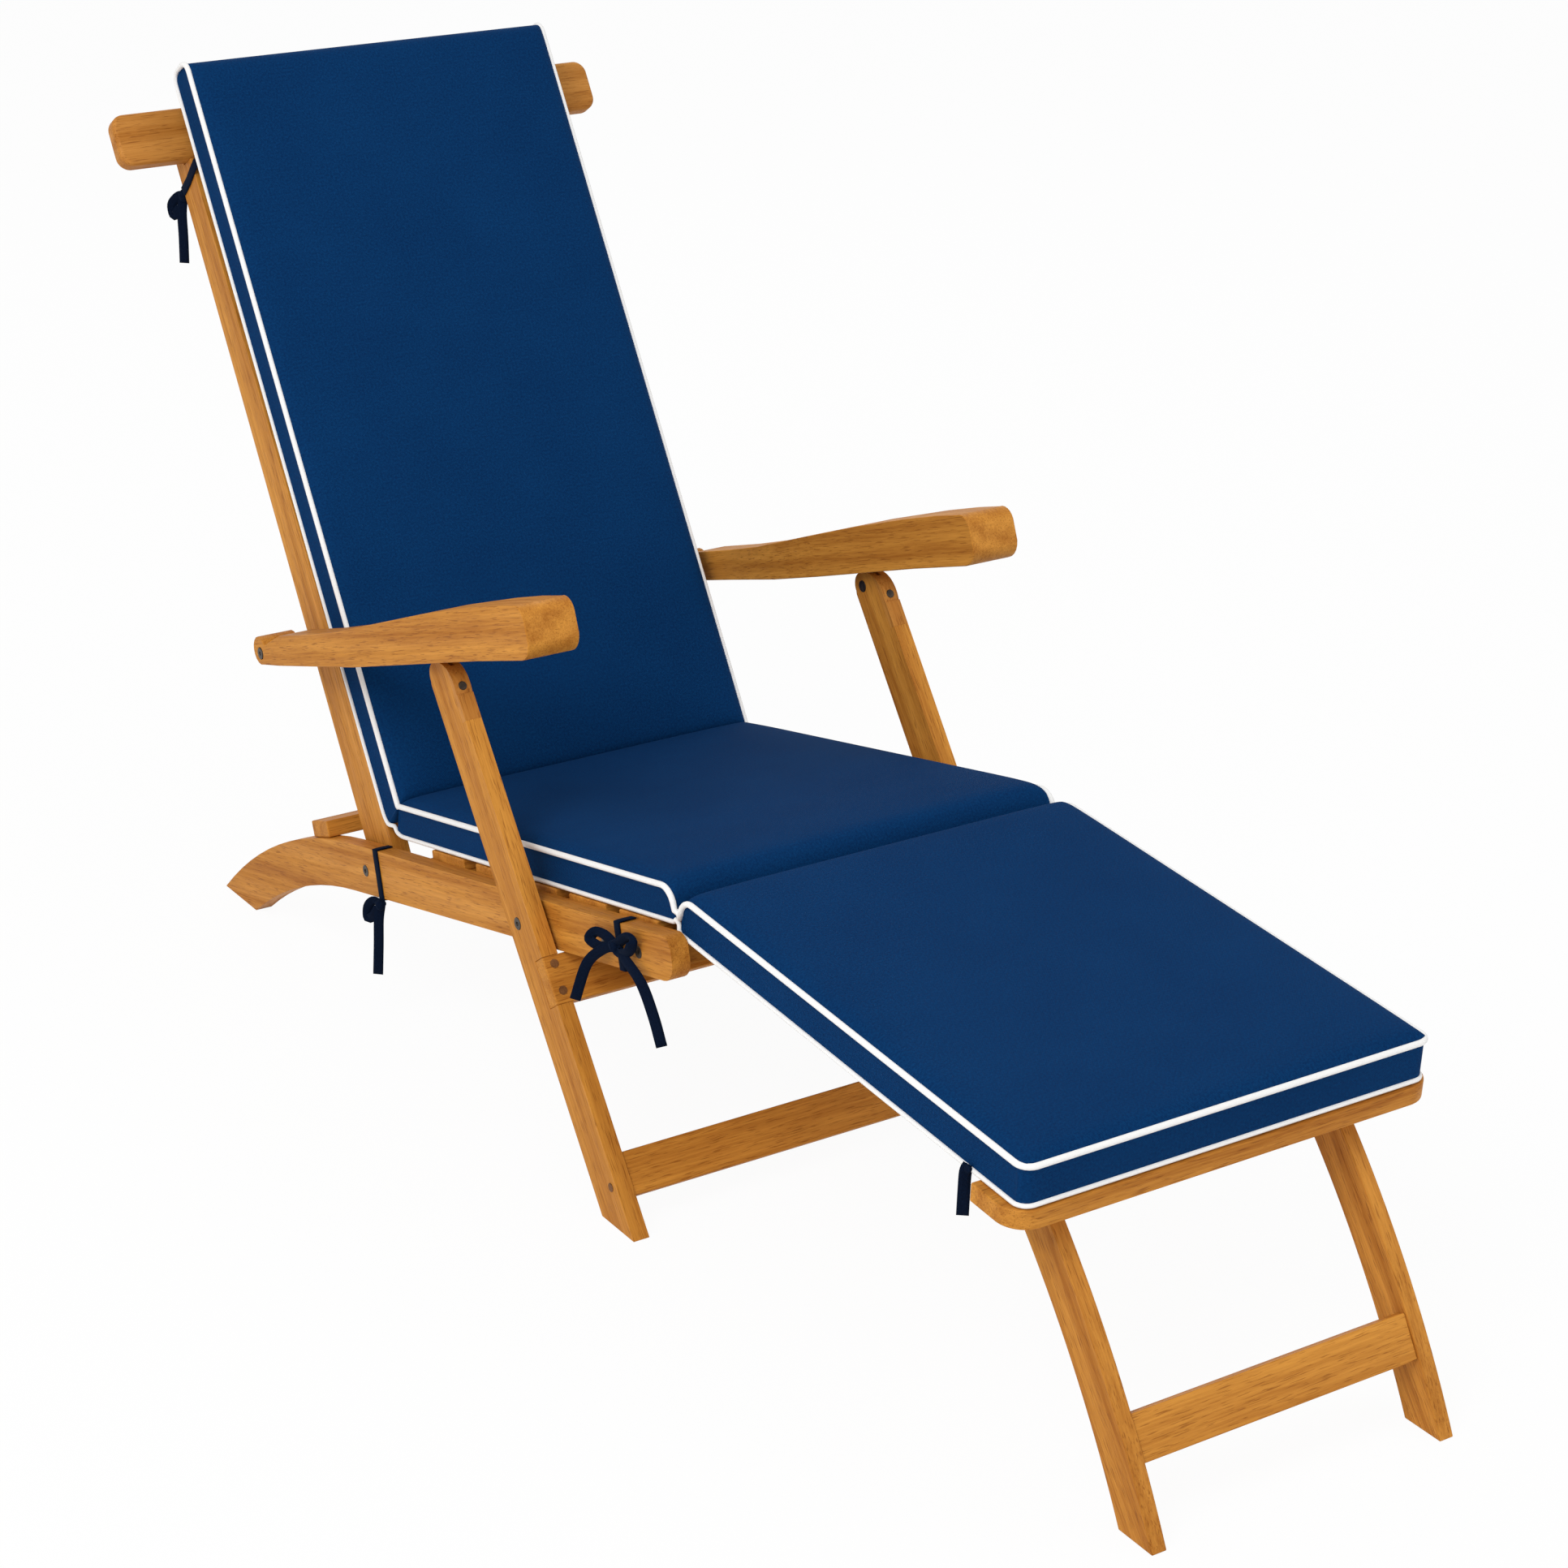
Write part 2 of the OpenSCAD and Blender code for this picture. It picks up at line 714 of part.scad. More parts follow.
module footrest_rail(side) {
    color(teak)
        difference() {
            plate(foot_rail_x, foot_rail_t, side) foot_rail_profile();
            pin(footrest_pivot, bolt_d + 2 * bore_gap,
                side * (foot_rail_x - 1), side * (foot_rail_x + foot_rail_t + 1));
            pin(foot_leg_pivot, bolt_d + 2 * bore_gap,
                side * (foot_rail_x - 1), side * (foot_rail_x + foot_rail_t + 1));
        }
}

// End board: a wide slat with rounded outer corners
module end_board() {
    start = on_footrest(foot_end - end_board_w, -end_board_t);
    half = end_board_l / 2;
    r = end_board_corner;
    color(teak)
        translate([0, start[0], start[1]])
            rotate([footrest_slope, 0, 0])
                linear_extrude(end_board_t)
                    union() {
                        translate([-half, -end_board_w + r]) square([2 * half, end_board_w - r]);
                        translate([-half + r, -end_board_w]) square([2 * half - 2 * r, r + 1]);
                        for (x = [-half + r, half - r]) translate([x, -end_board_w + r]) circle(r);
                    }
}

module footrest_slat(i) {
    a = first_foot_slat + (i - 1) * foot_slat_pitch;
    color(teak)
        cross_board(on_footrest(a, -slat_t), 180 + footrest_slope, foot_slat_w, -slat_t,
            -foot_slat_l / 2, foot_slat_l / 2);
}

// Footrest hinges: steel angle brackets on the crossbar's front face
hinge_plate = 3;
module footrest_hinges() {
    x = foot_rail_x + foot_rail_t + 0.5;
    front_face = front_bar_a + front_bar_t;
    color(brass)
        both_sides()
            difference() {
                union() {
                    plate(x, hinge_plate)
                        union() {
                            translate(footrest_pivot) circle(12);
                            polygon([
                                on_rail(front_face, -14), on_rail(front_face, 2),
                                footrest_pivot + [2, 12], footrest_pivot + [-2, -12]
                            ]);
                        }
                    plate(x, 24)
                        polygon([
                            on_rail(front_face, -14), on_rail(front_face, 2),
                            on_rail(front_face + hinge_plate, 2), on_rail(front_face + hinge_plate, -14)
                        ]);
                }
                pin(footrest_pivot, bolt_d + 2 * bore_gap, x - 1, x + hinge_plate + 1);
            }
}

module footrest_hinge_pins() {
    x = foot_rail_x + foot_rail_t + 0.5 + hinge_plate;
    color(bronze)
        both_sides() {
            pin(footrest_pivot, bolt_d, foot_rail_x - 2, x);
            pin(footrest_pivot, bolt_head_d, x, x + 3);
            pin(footrest_pivot, bolt_head_d, foot_rail_x - 4, foot_rail_x - 2);
        }
}

// Footrest leg: a curved bar cut flat at the floor, its top tucked under the end board
module foot_leg_profile() {
    half = foot_leg_depth / 2;
    top_r = foot_leg_drop - end_board_t - 1;
    top_cut = 90;
    difference() {
        intersection() {
            difference() {
                translate(foot_leg_centre) circle(foot_leg_outer, $fn = 360);
                translate(foot_leg_centre) circle(foot_leg_radius - half, $fn = 360);
            }
            translate([foot_leg_pivot[0] - 260, 0]) square([320, foot_leg_pivot[1] + 60]);
        }
        at_point(on_footrest(foot_end, -end_board_t - 1), footrest_slope)
            translate([-100, 0]) square([300, 100]);
        at_point(foot_leg_pivot, foot_leg_tilt)
            difference() {
                polygon([
                    [0, 0], [-sqrt(pow(top_r, 2) - pow(half, 2)), -half], [0, -top_cut], [top_cut, -top_cut],
                    top_cut * along(90 + footrest_slope - foot_leg_tilt)
                ]);
                circle(top_r);
            }
    }
}

module footrest_leg(side) {
    color(teak)
        difference() {
            plate(foot_leg_x, foot_leg_t, side) foot_leg_profile();
            pin(foot_leg_pivot, bolt_d + 2 * bore_gap,
                side * (foot_leg_x - 1), side * (foot_leg_x + foot_leg_t + 1));
        }
}

// Footrest stretcher: tenoned between the footrest's legs
foot_stretcher_h = 43;
foot_stretcher_z = 85;
foot_stretcher_t = 16;
module footrest_stretcher() {
    reach = foot_leg_outer - 2;
    angle = 180 - asin((foot_stretcher_z - foot_leg_centre[1]) / reach);
    color(teak)
        plate(-foot_leg_x, 2 * foot_leg_x)
            at_point(foot_leg_centre + reach * along(angle), angle + 90)
                translate([-foot_stretcher_h / 2, 0]) square([foot_stretcher_h, foot_stretcher_t]);
}

module footrest_leg_bolts() {
    color(bronze)
        both_sides() {
            pin(foot_leg_pivot, bolt_d, foot_rail_x - 2, foot_leg_x + foot_leg_t);
            pin(foot_leg_pivot, bolt_head_d, foot_leg_x + foot_leg_t, foot_leg_x + foot_leg_t + head_h);
            pin(foot_leg_pivot, bolt_head_d, foot_rail_x - 4, foot_rail_x - 2);
        }
}

// Cushion section: a crowned pad with drawn-in sides, from y = 0 to its length
pad_draw = 3;
pad_sag = 2.8;
function pad_rings(length) = concat(
    [for (a = [0:22.5:90]) [cushion_corner * (1 - cos(a)), cushion_corner * (1 - sin(a))]],
    [for (i = [1:8]) [cushion_corner + (length - 2 * cushion_corner) * i / 9, 0]],
    [for (a = [90:-22.5:0]) [length - cushion_corner * (1 - cos(a)), cushion_corner * (1 - sin(a))]]
);
function pad_rise(y, length) = 1 - pow(abs(2 * y / length - 1), 10);
function pad_ring(ring, length, thick) =
    let (w = cushion_w / 2 - ring[1], rise = pad_rise(ring[0], length), n = 5)
    concat(
        [for (i = [-n:n]) [w * i / n, ring[0], -pad_sag * rise * (1 - pow(abs(i / n), 4))]],
        [[w - pad_draw, ring[0], thick / 2]],
        [for (i = [-n:n]) [-w * i / n, ring[0], thick + crown * rise * (1 - pow(abs(i / n), 3))]],
        [[pad_draw - w, ring[0], thick / 2]]
    );
module pad(length, thick) {
    rings = pad_rings(length);
    count = len(rings);
    size = len(pad_ring(rings[0], length, thick));
    points = concat(
        [for (ring = rings) each pad_ring(ring, length, thick)],
        [[0, pad_draw, thick / 2], [0, length - pad_draw, thick / 2]]
    );
    sides = [for (r = [0:count - 2], i = [0:size - 1])
        let (a = r * size + i, b = r * size + (i + 1) % size, c = b + size, d = a + size)
        each [[a, b, d], [b, c, d]]];
    first = count * size;
    start_cap = [for (i = [0:size - 1]) [first, (i + 1) % size, i]];
    end_cap = [for (i = [0:size - 1])
        [first + 1, (count - 1) * size + i, (count - 1) * size + (i + 1) % size]];
    polyhedron(points, concat(sides, start_cap, end_cap), convexity = 4);
}

// Piping: one rounded loop round the top edge and one round the bottom edge
module piping_loop(length) {
    w = cushion_w / 2;
    r = cushion_corner;
    for (side = [-1, 1]) {
        translate([side * w, r, 0]) rotate([-90, 0, 0]) cylinder(r = piping_r, h = length - 2 * r);
        translate([r - w, side > 0 ? length : 0, 0])
            rotate([0, 90, 0]) cylinder(r = piping_r, h = 2 * (w - r));
    }
    for (corner = [[w - r, length - r, 0], [r - w, length - r, 90], [r - w, r, 180], [w - r, r, 270]])
        translate([corner[0], corner[1], 0])
            rotate([0, 0, corner[2]])
                rotate_extrude(angle = 90)
                    translate([r, 0]) circle(piping_r, $fn = 24);
}

// Lays a section that runs along +y at a start point, along a direction in the side profile
module lay(start, direction) {
    translate([0, start[0], start[1]])
        rotate([0, 0, 180])
            rotate([180 - atan2(direction[1], direction[0]), 0, 0])
                children();
}

back_start = crease + (crease_gap + back_length) * back_along + back_cushion_t * back_across;
seat_start = crease + crease_gap * seat_along - seat_cushion_t * seat_across;
foot_start = foot_plane + foot_gap * foot_along + cushion_seat * foot_up;

module lay_back() {
    lay(back_start, -back_along) children();
}
module lay_seat() {
    lay(seat_start, seat_along) children();
}
module lay_footrest() {
    lay(foot_start, foot_along) children();
}

module cushion_section(length, thick) {
    color(navy) pad(length, thick);
}

module piping_section(length, thick) {
    color(cord_white) {
        piping_loop(length);
        translate([0, 0, thick]) piping_loop(length);
    }
}

// A tie: a tape band round a bar, a knot beside it, and the tape's loops and tails hanging from the knot
tape_t = 1.2;
tape_gap = 0.3;
knot_r = 5;
module tape_band(p, angle, low, high, x0, x1, open_low = 0, open_x = 0) {
    difference() {
        band_block(p, angle, low, high, x0, x1, tape_gap + tape_t, tape_w);
        band_block(p, angle, low + open_low, high, x0 - open_x, x1, tape_gap, tape_w + 2);
    }
}

// A block that stands round a bar by a margin: low and high across it, width along it
module band_block(p, angle, low, high, x0, x1, margin, width) {
    translate([x0 - margin, 0, 0])
        rotate([90, 0, 90])
            linear_extrude(x1 - x0 + 2 * margin)
                at_point(p, angle)
                    translate([-width / 2, -low - margin]) square([width, low + high + 2 * margin]);
}

// A knot with strips of tape: each strip is its lean from straight down and its length
module knot(x, at, strips) {
    translate([x, at[0], at[1]]) {
        sphere(knot_r);
        for (strip = strips)
            rotate([strip[0], 0, 0])
                translate([-tape_t / 2, -tape_w * 0.35, -strip[1]]) cube([tape_t, tape_w * 0.7, strip[1]]);
    }
}

knot_x = rail_out + tape_gap + tape_t + knot_r - 1;
rear_tie_a = 34;
front_tie_a = front_bar_a - 60;
module seat_ties() {
    rear = on_rail(rear_tie_a, 0);
    front = on_rail(front_tie_a, 0);
    color(tape_navy)
        both_sides() {
            tape_band(rear, 180 - seat_slope, rail_half, rail_half, rail_x + 4, rail_out, 0, 4);
            knot(knot_x, rear - (rail_half - 3) * rail_up, [[-62, 26], [0, 92]]);
            tape_band(front, 180 - seat_slope, rail_top(front_tie_a - 8), rail_half,
                rail_x + 4, rail_out, 0, 4);
            knot(knot_x, front, [[-118, 26], [112, 24], [-42, 66], [22, 96]]);
        }
}

module back_ties() {
    t = head_bottom_t - 16;
    x = stile_x + stile_t / 2;
    color(tape_navy)
        both_sides() {
            tape_band(on_stile(t, 0), stile_angle - 180, -4 - stile_front(t), stile_rear,
                stile_x, stile_out, 8);
            knot(x, on_stile(t, stile_rear + tape_gap + tape_t + knot_r - 1), [[20, 26], [0, 90]]);
        }
}

module footrest_ties() {
    at = on_footrest(foot_end - end_board_w - 14, cushion_seat);
    color(tape_navy)
        both_sides()
            knot(cushion_w / 2 + piping_r + tape_gap + knot_r, at, [[0, 50]]);
}

seat_rail(-1);  // seat_rail_left
seat_rail(1);  // seat_rail_right
front_crossbar();
rear_crossbar();
seat_cleat(-1);  // seat_cleat_left
seat_cleat(1);  // seat_cleat_right
rail_bolts();
leg_pivot_bolts();
footrest_hinges();
footrest_hinge_pins();
for (i = [1:seat_slats]) seat_slat(i);
lay_seat() cushion_section(seat_length, seat_cushion_t);  // seat_cushion
lay_seat() piping_section(seat_length, seat_cushion_t);  // seat_piping
seat_ties();
back_stile(-1);  // back_stile_left
back_stile(1);  // back_stile_right
head_rail();
arm_pivot_bolts();
arm_spacers();
for (i = [1:back_slats]) back_slat(i);
lay_back() cushion_section(back_length, back_cushion_t);  // back_cushion
lay_back() piping_section(back_length, back_cushion_t);  // back_piping
back_ties();
arm(-1);  // arm_left
arm(1);  // arm_right
arm_hinge(-1);  // arm_hinge_left
arm_hinge(1);  // arm_hinge_right
main_leg(-1);  // main_leg_left
main_leg(1);  // main_leg_right
upper_stretcher();
lower_stretcher();
leg_caps();
leg_cap_screws();
arm_link_pins();
stretcher_plugs();
footrest_rail(-1);  // footrest_rail_left
footrest_rail(1);  // footrest_rail_right
end_board();
for (i = [1:footrest_slats]) footrest_slat(i);
lay_footrest() cushion_section(footrest_length, foot_cushion_t);  // footrest_cushion
lay_footrest() piping_section(footrest_length, foot_cushion_t);  // footrest_piping
footrest_ties();
footrest_leg(-1);  // footrest_leg_left
footrest_leg(1);  // footrest_leg_right
footrest_stretcher();
footrest_leg_bolts();
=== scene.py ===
# %% [markdown]
# A folding wooden lounge chair with a tied cushion. The wooden frame, its bolts and its hinges come
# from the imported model. This lesson gives them their finishes, and sews the soft parts in their place:
# three cushion sections, their white piping, and the tapes that tie them to the wood.
# The camera comes first, because the photograph fixes it: everything else is judged through it.

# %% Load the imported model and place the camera
import math

import bmesh
import bpy
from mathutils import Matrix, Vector


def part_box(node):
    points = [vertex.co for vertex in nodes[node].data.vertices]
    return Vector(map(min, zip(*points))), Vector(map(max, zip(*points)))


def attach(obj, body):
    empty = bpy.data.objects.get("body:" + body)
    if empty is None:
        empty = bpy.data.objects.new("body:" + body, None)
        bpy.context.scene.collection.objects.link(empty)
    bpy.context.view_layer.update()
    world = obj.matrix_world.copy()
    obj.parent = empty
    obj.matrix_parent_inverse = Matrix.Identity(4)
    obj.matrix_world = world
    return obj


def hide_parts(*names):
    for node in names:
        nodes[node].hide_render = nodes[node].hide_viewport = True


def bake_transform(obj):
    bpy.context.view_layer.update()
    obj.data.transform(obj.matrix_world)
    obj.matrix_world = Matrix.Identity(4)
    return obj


MM = 0.001
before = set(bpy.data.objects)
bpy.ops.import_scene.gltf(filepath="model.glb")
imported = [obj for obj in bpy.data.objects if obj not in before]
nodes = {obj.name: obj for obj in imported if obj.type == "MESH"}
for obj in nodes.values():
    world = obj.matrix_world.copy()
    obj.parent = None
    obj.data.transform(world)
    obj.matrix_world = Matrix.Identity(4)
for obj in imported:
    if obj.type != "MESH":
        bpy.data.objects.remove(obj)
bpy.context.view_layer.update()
scene = bpy.context.scene

# The camera's place in metres, the way back from its aim, and its lens and sensor in millimetres.
camera_place = Vector((-1.77415, -2.81677, 1.72328))
camera_back = Vector((-0.499, -0.779, 0.3796)).normalized()
camera_lens = 81.15
sensor = 36.0

lens = bpy.data.cameras.new("camera")
lens.lens = camera_lens
lens.sensor_width = sensor
camera = bpy.data.objects.new("camera", lens)
camera.location = camera_place
camera.rotation_mode = "QUATERNION"
camera.rotation_quaternion = (-camera_back).to_track_quat("-Z", "Y")
scene.collection.objects.link(camera)
scene.camera = camera
print("camera at", tuple(round(c, 3) for c in camera_place), "around", len(nodes), "packed nodes")

# %% [markdown]
# The photograph is cut out on plain white, under soft studio light from the left and above.
# The camera and the reflections see a white world and a nearly white floor, which give that ground.
# The light that falls on the chair comes from the same world made dimmer and from three lamps, so that
# navy stays navy and the teak keeps its colour.

# %% The world
scene.view_settings.view_transform = "Standard"
world_light = 0.60
floor_glow = 0.95
floor_half = 30


def math_node(tree, operation, a, b):
    """One Math node with its first input linked and its second linked or typed."""
    made = tree.nodes.new("ShaderNodeMath")
    made.operation = operation
    for socket, value in zip(made.inputs, (a, b)):
        if isinstance(value, (int, float)):
            socket.default_value = value
        else:
            tree.links.new(value, socket)
    return made.outputs[0]


def seen_directly(tree):
    """A mask that is 1 for what the camera, a reflection or glass sees."""
    path = tree.nodes.new("ShaderNodeLightPath")
    seen = math_node(tree, "MAXIMUM", path.outputs["Is Camera Ray"], path.outputs["Is Glossy Ray"])
    return math_node(tree, "MAXIMUM", seen, path.outputs["Is Transmission Ray"])


world = bpy.data.worlds.new("studio")
scene.world = world
world.use_nodes = True
sky = world.node_tree
background = sky.nodes["Background"]
background.inputs["Color"].default_value = (1, 1, 1, 1)
strength = math_node(sky, "MULTIPLY", seen_directly(sky), 1 - world_light)
sky.links.new(math_node(sky, "ADD", strength, world_light), background.inputs["Strength"])
print("world light", world_light)


# %% The floor, with helpers that make every new material and piece
def new_material(name):
    """A material with its node tree and its Principled BSDF."""
    material = bpy.data.materials.new(name)
    material.use_nodes = True
    tree = material.node_tree
    return material, tree, tree.nodes["Principled BSDF"]


def new_piece(name, mesh, material):
    """A linked object that shows this mesh in one material."""
    mesh.materials.clear()
    mesh.materials.append(material)
    piece = bpy.data.objects.new(name, mesh)
    scene.collection.objects.link(piece)
    return piece


def piece_from(bm, name, material):
    """A linked object made from a bmesh, which is freed."""
    mesh = bpy.data.meshes.new(name)
    bm.to_mesh(mesh)
    bm.free()
    return new_piece(name, mesh, material)


def pale_floor():
    """Matt white that takes a shadow, mixed with the plain white that the camera sees."""
    material, tree, matt = new_material("pale_floor")
    matt.inputs["Base Color"].default_value = (0.9, 0.9, 0.9, 1)
    matt.inputs["Roughness"].default_value = 0.9
    glow = tree.nodes.new("ShaderNodeEmission")
    glow.inputs["Color"].default_value = (1, 1, 1, 1)
    mix = tree.nodes.new("ShaderNodeMixShader")
    tree.links.new(math_node(tree, "MULTIPLY", seen_directly(tree), floor_glow), mix.inputs["Fac"])
    tree.links.new(matt.outputs[0], mix.inputs[1])
    tree.links.new(glow.outputs[0], mix.inputs[2])
    tree.links.new(mix.outputs[0], tree.nodes["Material Output"].inputs["Surface"])
    return material


def studio_floor():
    """A pale floor that keeps the chair's soft shadow."""
    bm = bmesh.new()
    bmesh.ops.create_grid(bm, x_segments=1, y_segments=1, size=floor_half)
    floor = piece_from(bm, "studio_floor", pale_floor())
    floor.location.z = -0.5 * MM


studio_floor()
print("floor", 2 * floor_half, "m wide")


# %% Light the chair with three lamps
def area_lamp(name, place, aim, size, power):
    """A square lamp that looks at its aim: metres and watts."""
    lamp = bpy.data.lights.new(name, "AREA")
    lamp.shape = "SQUARE"
    lamp.size = size
    lamp.energy = power
    holder = bpy.data.objects.new(name, lamp)
    holder.location = place
    direction = Vector(aim) - Vector(place)
    holder.rotation_mode = "QUATERNION"
    holder.rotation_quaternion = direction.to_track_quat("-Z", "Y")
    scene.collection.objects.link(holder)


area_lamp("key_lamp", (-3.0, -1.6, 3.6), (0, 0, 0.4), 2.4, 107)
area_lamp("fill_lamp", (2.6, -3.6, 2.2), (0, 0, 0.4), 2.6, 26)
area_lamp("rim_lamp", (1.6, 3.2, 3.0), (0, 0.2, 0.5), 2.0, 14)

# %% [markdown]
# Oiled teak shows long fine fibres, soft growth bands, and short dark pores, all along the board.
# One node group makes the three from noise that is stretched along its own second axis. Each board's
# material turns the pattern to the board, so that rails, legs and slats have their grain lengthwise.

# %% The grain of the wood as a node group
def new_group(name, inputs, outputs):
    """An empty shader group with named sockets: each is a name, a socket type and a default."""
    group = bpy.data.node_groups.new(name, "ShaderNodeTree")
    for label, kind, value in inputs:
        socket = group.interface.new_socket(label, in_out="INPUT", socket_type=kind)
        if value is not None:
            socket.default_value = value
    for label, kind in outputs:
        group.interface.new_socket(label, in_out="OUTPUT", socket_type=kind)
    return group, group.nodes.new("NodeGroupInput"), group.nodes.new("NodeGroupOutput")


def stretched(tree, vector, stretch):
    node = tree.nodes.new("ShaderNodeMapping")
    node.inputs["Scale"].default_value = stretch
    tree.links.new(vector, node.inputs["Vector"])
    return node.outputs[0]


def noise(tree, vector, scale, detail=4.0, roughness=0.55):
    node = tree.nodes.new("ShaderNodeTexNoise")
    node.inputs["Scale"].default_value = scale
    node.inputs["Detail"].default_value = detail
    node.inputs["Roughness"].default_value = roughness
    tree.links.new(vector, node.inputs["Vector"])
    return node.outputs["Fac"]


def remap(tree, value, low, high, to_low=0.0, to_high=1.0):
    node = tree.nodes.new("ShaderNodeMapRange")
    tree.links.new(value, node.inputs["Value"])
    for label, number in (("From Min", low), ("From Max", high), ("To Min", to_low), ("To Max", to_high)):
        node.inputs[label].default_value = number
    return node.outputs["Result"]


def mix_colour(tree, factor, first, second, blend="MIX"):
    node = tree.nodes.new("ShaderNodeMix")
    node.data_type = "RGBA"
    node.blend_type = blend
    for socket, value in ((node.inputs[0], factor), (node.inputs[6], first), (node.inputs[7], second)):
        if isinstance(value, (int, float, tuple)):
            socket.default_value = value
        else:
            tree.links.new(value, socket)
    return node.outputs[2]


def make_wood_grain():
    tree, given, put = new_group(
        "wood_grain",
        [("Vector", "NodeSocketVector", None), ("Light", "NodeSocketColor", (0.6, 0.3, 0.08, 1)),
         ("Dark", "NodeSocketColor", (0.4, 0.16, 0.03, 1))],
        [("Color", "NodeSocketColor"), ("Roughness", "NodeSocketFloat"), ("Height", "NodeSocketFloat")],
    )
    along = given.outputs["Vector"]
    wander = noise(tree, stretched(tree, along, (9, 1.6, 9)), 1.0, 2.0)
    band_wave = tree.nodes.new("ShaderNodeTexWave")
    band_wave.wave_type = "RINGS"
    band_wave.rings_direction = "Y"
    band_wave.inputs["Scale"].default_value = 11.0
    band_wave.inputs["Distortion"].default_value = 7.0
    band_wave.inputs["Detail"].default_value = 3.0
    band_wave.inputs["Detail Scale"].default_value = 1.4
    tree.links.new(stretched(tree, along, (1.0, 0.10, 1.0)), band_wave.inputs["Vector"])
    fibres = noise(tree, stretched(tree, along, (1.0, 0.035, 1.0)), 420.0, 5.0, 0.6)
    streaks = noise(tree, stretched(tree, along, (1.0, 0.02, 1.0)), 95.0, 3.0, 0.5)
    pores = noise(tree, stretched(tree, along, (1.0, 0.05, 1.0)), 900.0, 2.0, 0.5)
    pore_mask = remap(tree, pores, 0.58, 0.66)
    tone = math_node(tree, "MULTIPLY", band_wave.outputs["Fac"], 0.30)
    tone = math_node(tree, "ADD", tone, remap(tree, fibres, 0.34, 0.66, 0.0, 0.40))
    tone = math_node(tree, "ADD", tone, remap(tree, streaks, 0.35, 0.70, 0.0, 0.30))
    tone = math_node(tree, "ADD", tone, remap(tree, wander, 0.35, 0.70, -0.05, 0.22))
    colour = mix_colour(tree, tone, given.outputs["Light"], given.outputs["Dark"])
    dark_pores = mix_colour(tree, 1.0, colour, (0.66, 0.58, 0.50, 1), "MULTIPLY")
    tree.links.new(mix_colour(tree, pore_mask, colour, dark_pores), put.inputs["Color"])
    tree.links.new(remap(tree, streaks, 0.3, 0.7, 0.46, 0.60), put.inputs["Roughness"])
    height = math_node(tree, "SUBTRACT", fibres, math_node(tree, "MULTIPLY", pore_mask, 0.6))
    tree.links.new(height, put.inputs["Height"])
    return tree


wood_grain = make_wood_grain()
print("wood grain from", len(wood_grain.nodes), "nodes")


def bump(tree, height, distance, shader, strength=1.0):
    node = tree.nodes.new("ShaderNodeBump")
    node.inputs["Strength"].default_value = strength
    node.inputs["Distance"].default_value = distance
    tree.links.new(height, node.inputs["Height"])
    tree.links.new(node.outputs[0], shader.inputs["Normal"])


def teak(name, turn, light=(0.720, 0.318, 0.050, 1), dark=(0.380, 0.128, 0.014, 1), shift=0.0):
    """Oiled teak whose grain runs along Y once the pattern is turned by these angles, in degrees."""
    material, tree, shader = new_material(name)
    where = tree.nodes.new("ShaderNodeTexCoord")
    turned = tree.nodes.new("ShaderNodeMapping")
    turned.inputs["Rotation"].default_value = [math.radians(a) for a in turn]
    turned.inputs["Location"].default_value = (shift, shift, shift)
    tree.links.new(where.outputs["Object"], turned.inputs["Vector"])
    grain = tree.nodes.new("ShaderNodeGroup")
    grain.node_tree = wood_grain
    grain.inputs["Light"].default_value = light
    grain.inputs["Dark"].default_value = dark
    tree.links.new(turned.outputs[0], grain.inputs["Vector"])
    tree.links.new(grain.outputs["Color"], shader.inputs["Base Color"])
    tree.links.new(grain.outputs["Roughness"], shader.inputs["Roughness"])
    shader.inputs["Specular IOR Level"].default_value = 0.13
    bump(tree, grain.outputs["Height"], 0.18 * MM, shader, 0.7)
    return material


# %% [markdown]
# The boards are sawn square and then eased, so each long edge catches a thin line of light.
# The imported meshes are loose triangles, so three modifiers do this in turn: one welds the triangles,
# one dissolves the flat seams between them, and one bevels the edges that are left. A fourth evens
# the normals, so that the flat faces stay flat in the light.

# %% Ease the edges of the wooden parts and give them their grain
def ease(node, width, segments=3):
    """Welds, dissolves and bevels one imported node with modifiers, and evens its normals."""
    piece = nodes[node]
    weld = piece.modifiers.new("weld", "WELD")
    weld.merge_threshold = 0.02 * MM
    flat = piece.modifiers.new("flat", "DECIMATE")
    flat.decimate_type = "DISSOLVE"
    flat.angle_limit = math.radians(0.6)
    edge = piece.modifiers.new("edge", "BEVEL")
    edge.width = width
    edge.segments = segments
    edge.limit_method = "ANGLE"
    edge.angle_limit = math.radians(32)
    edge.use_clamp_overlap = True
    even = piece.modifiers.new("even", "WEIGHTED_NORMAL")
    even.keep_sharp = False


def finish_with(names, material):
    for name in names:
        mesh = nodes[name].data
        mesh.materials.clear()
        mesh.materials.append(material)


def sides(name):
    return [name + "_left", name + "_right"]


# How the boards slope, in degrees, so that each one's grain can be turned lengthwise.
rail_slope, seat_angle, stile_angle, leg_angle = 13.3, 11.75, 59.0, 54.3
arm_slope, footrest_slope, foot_leg_angle = 18.5, 4.1, 53.2
across_x = (0, 0, 90)
slats = [n for n in nodes if "_slat_" in n]
crossers = ["front_crossbar", "rear_crossbar", "upper_stretcher", "lower_stretcher",
            "footrest_stretcher", "end_board"]

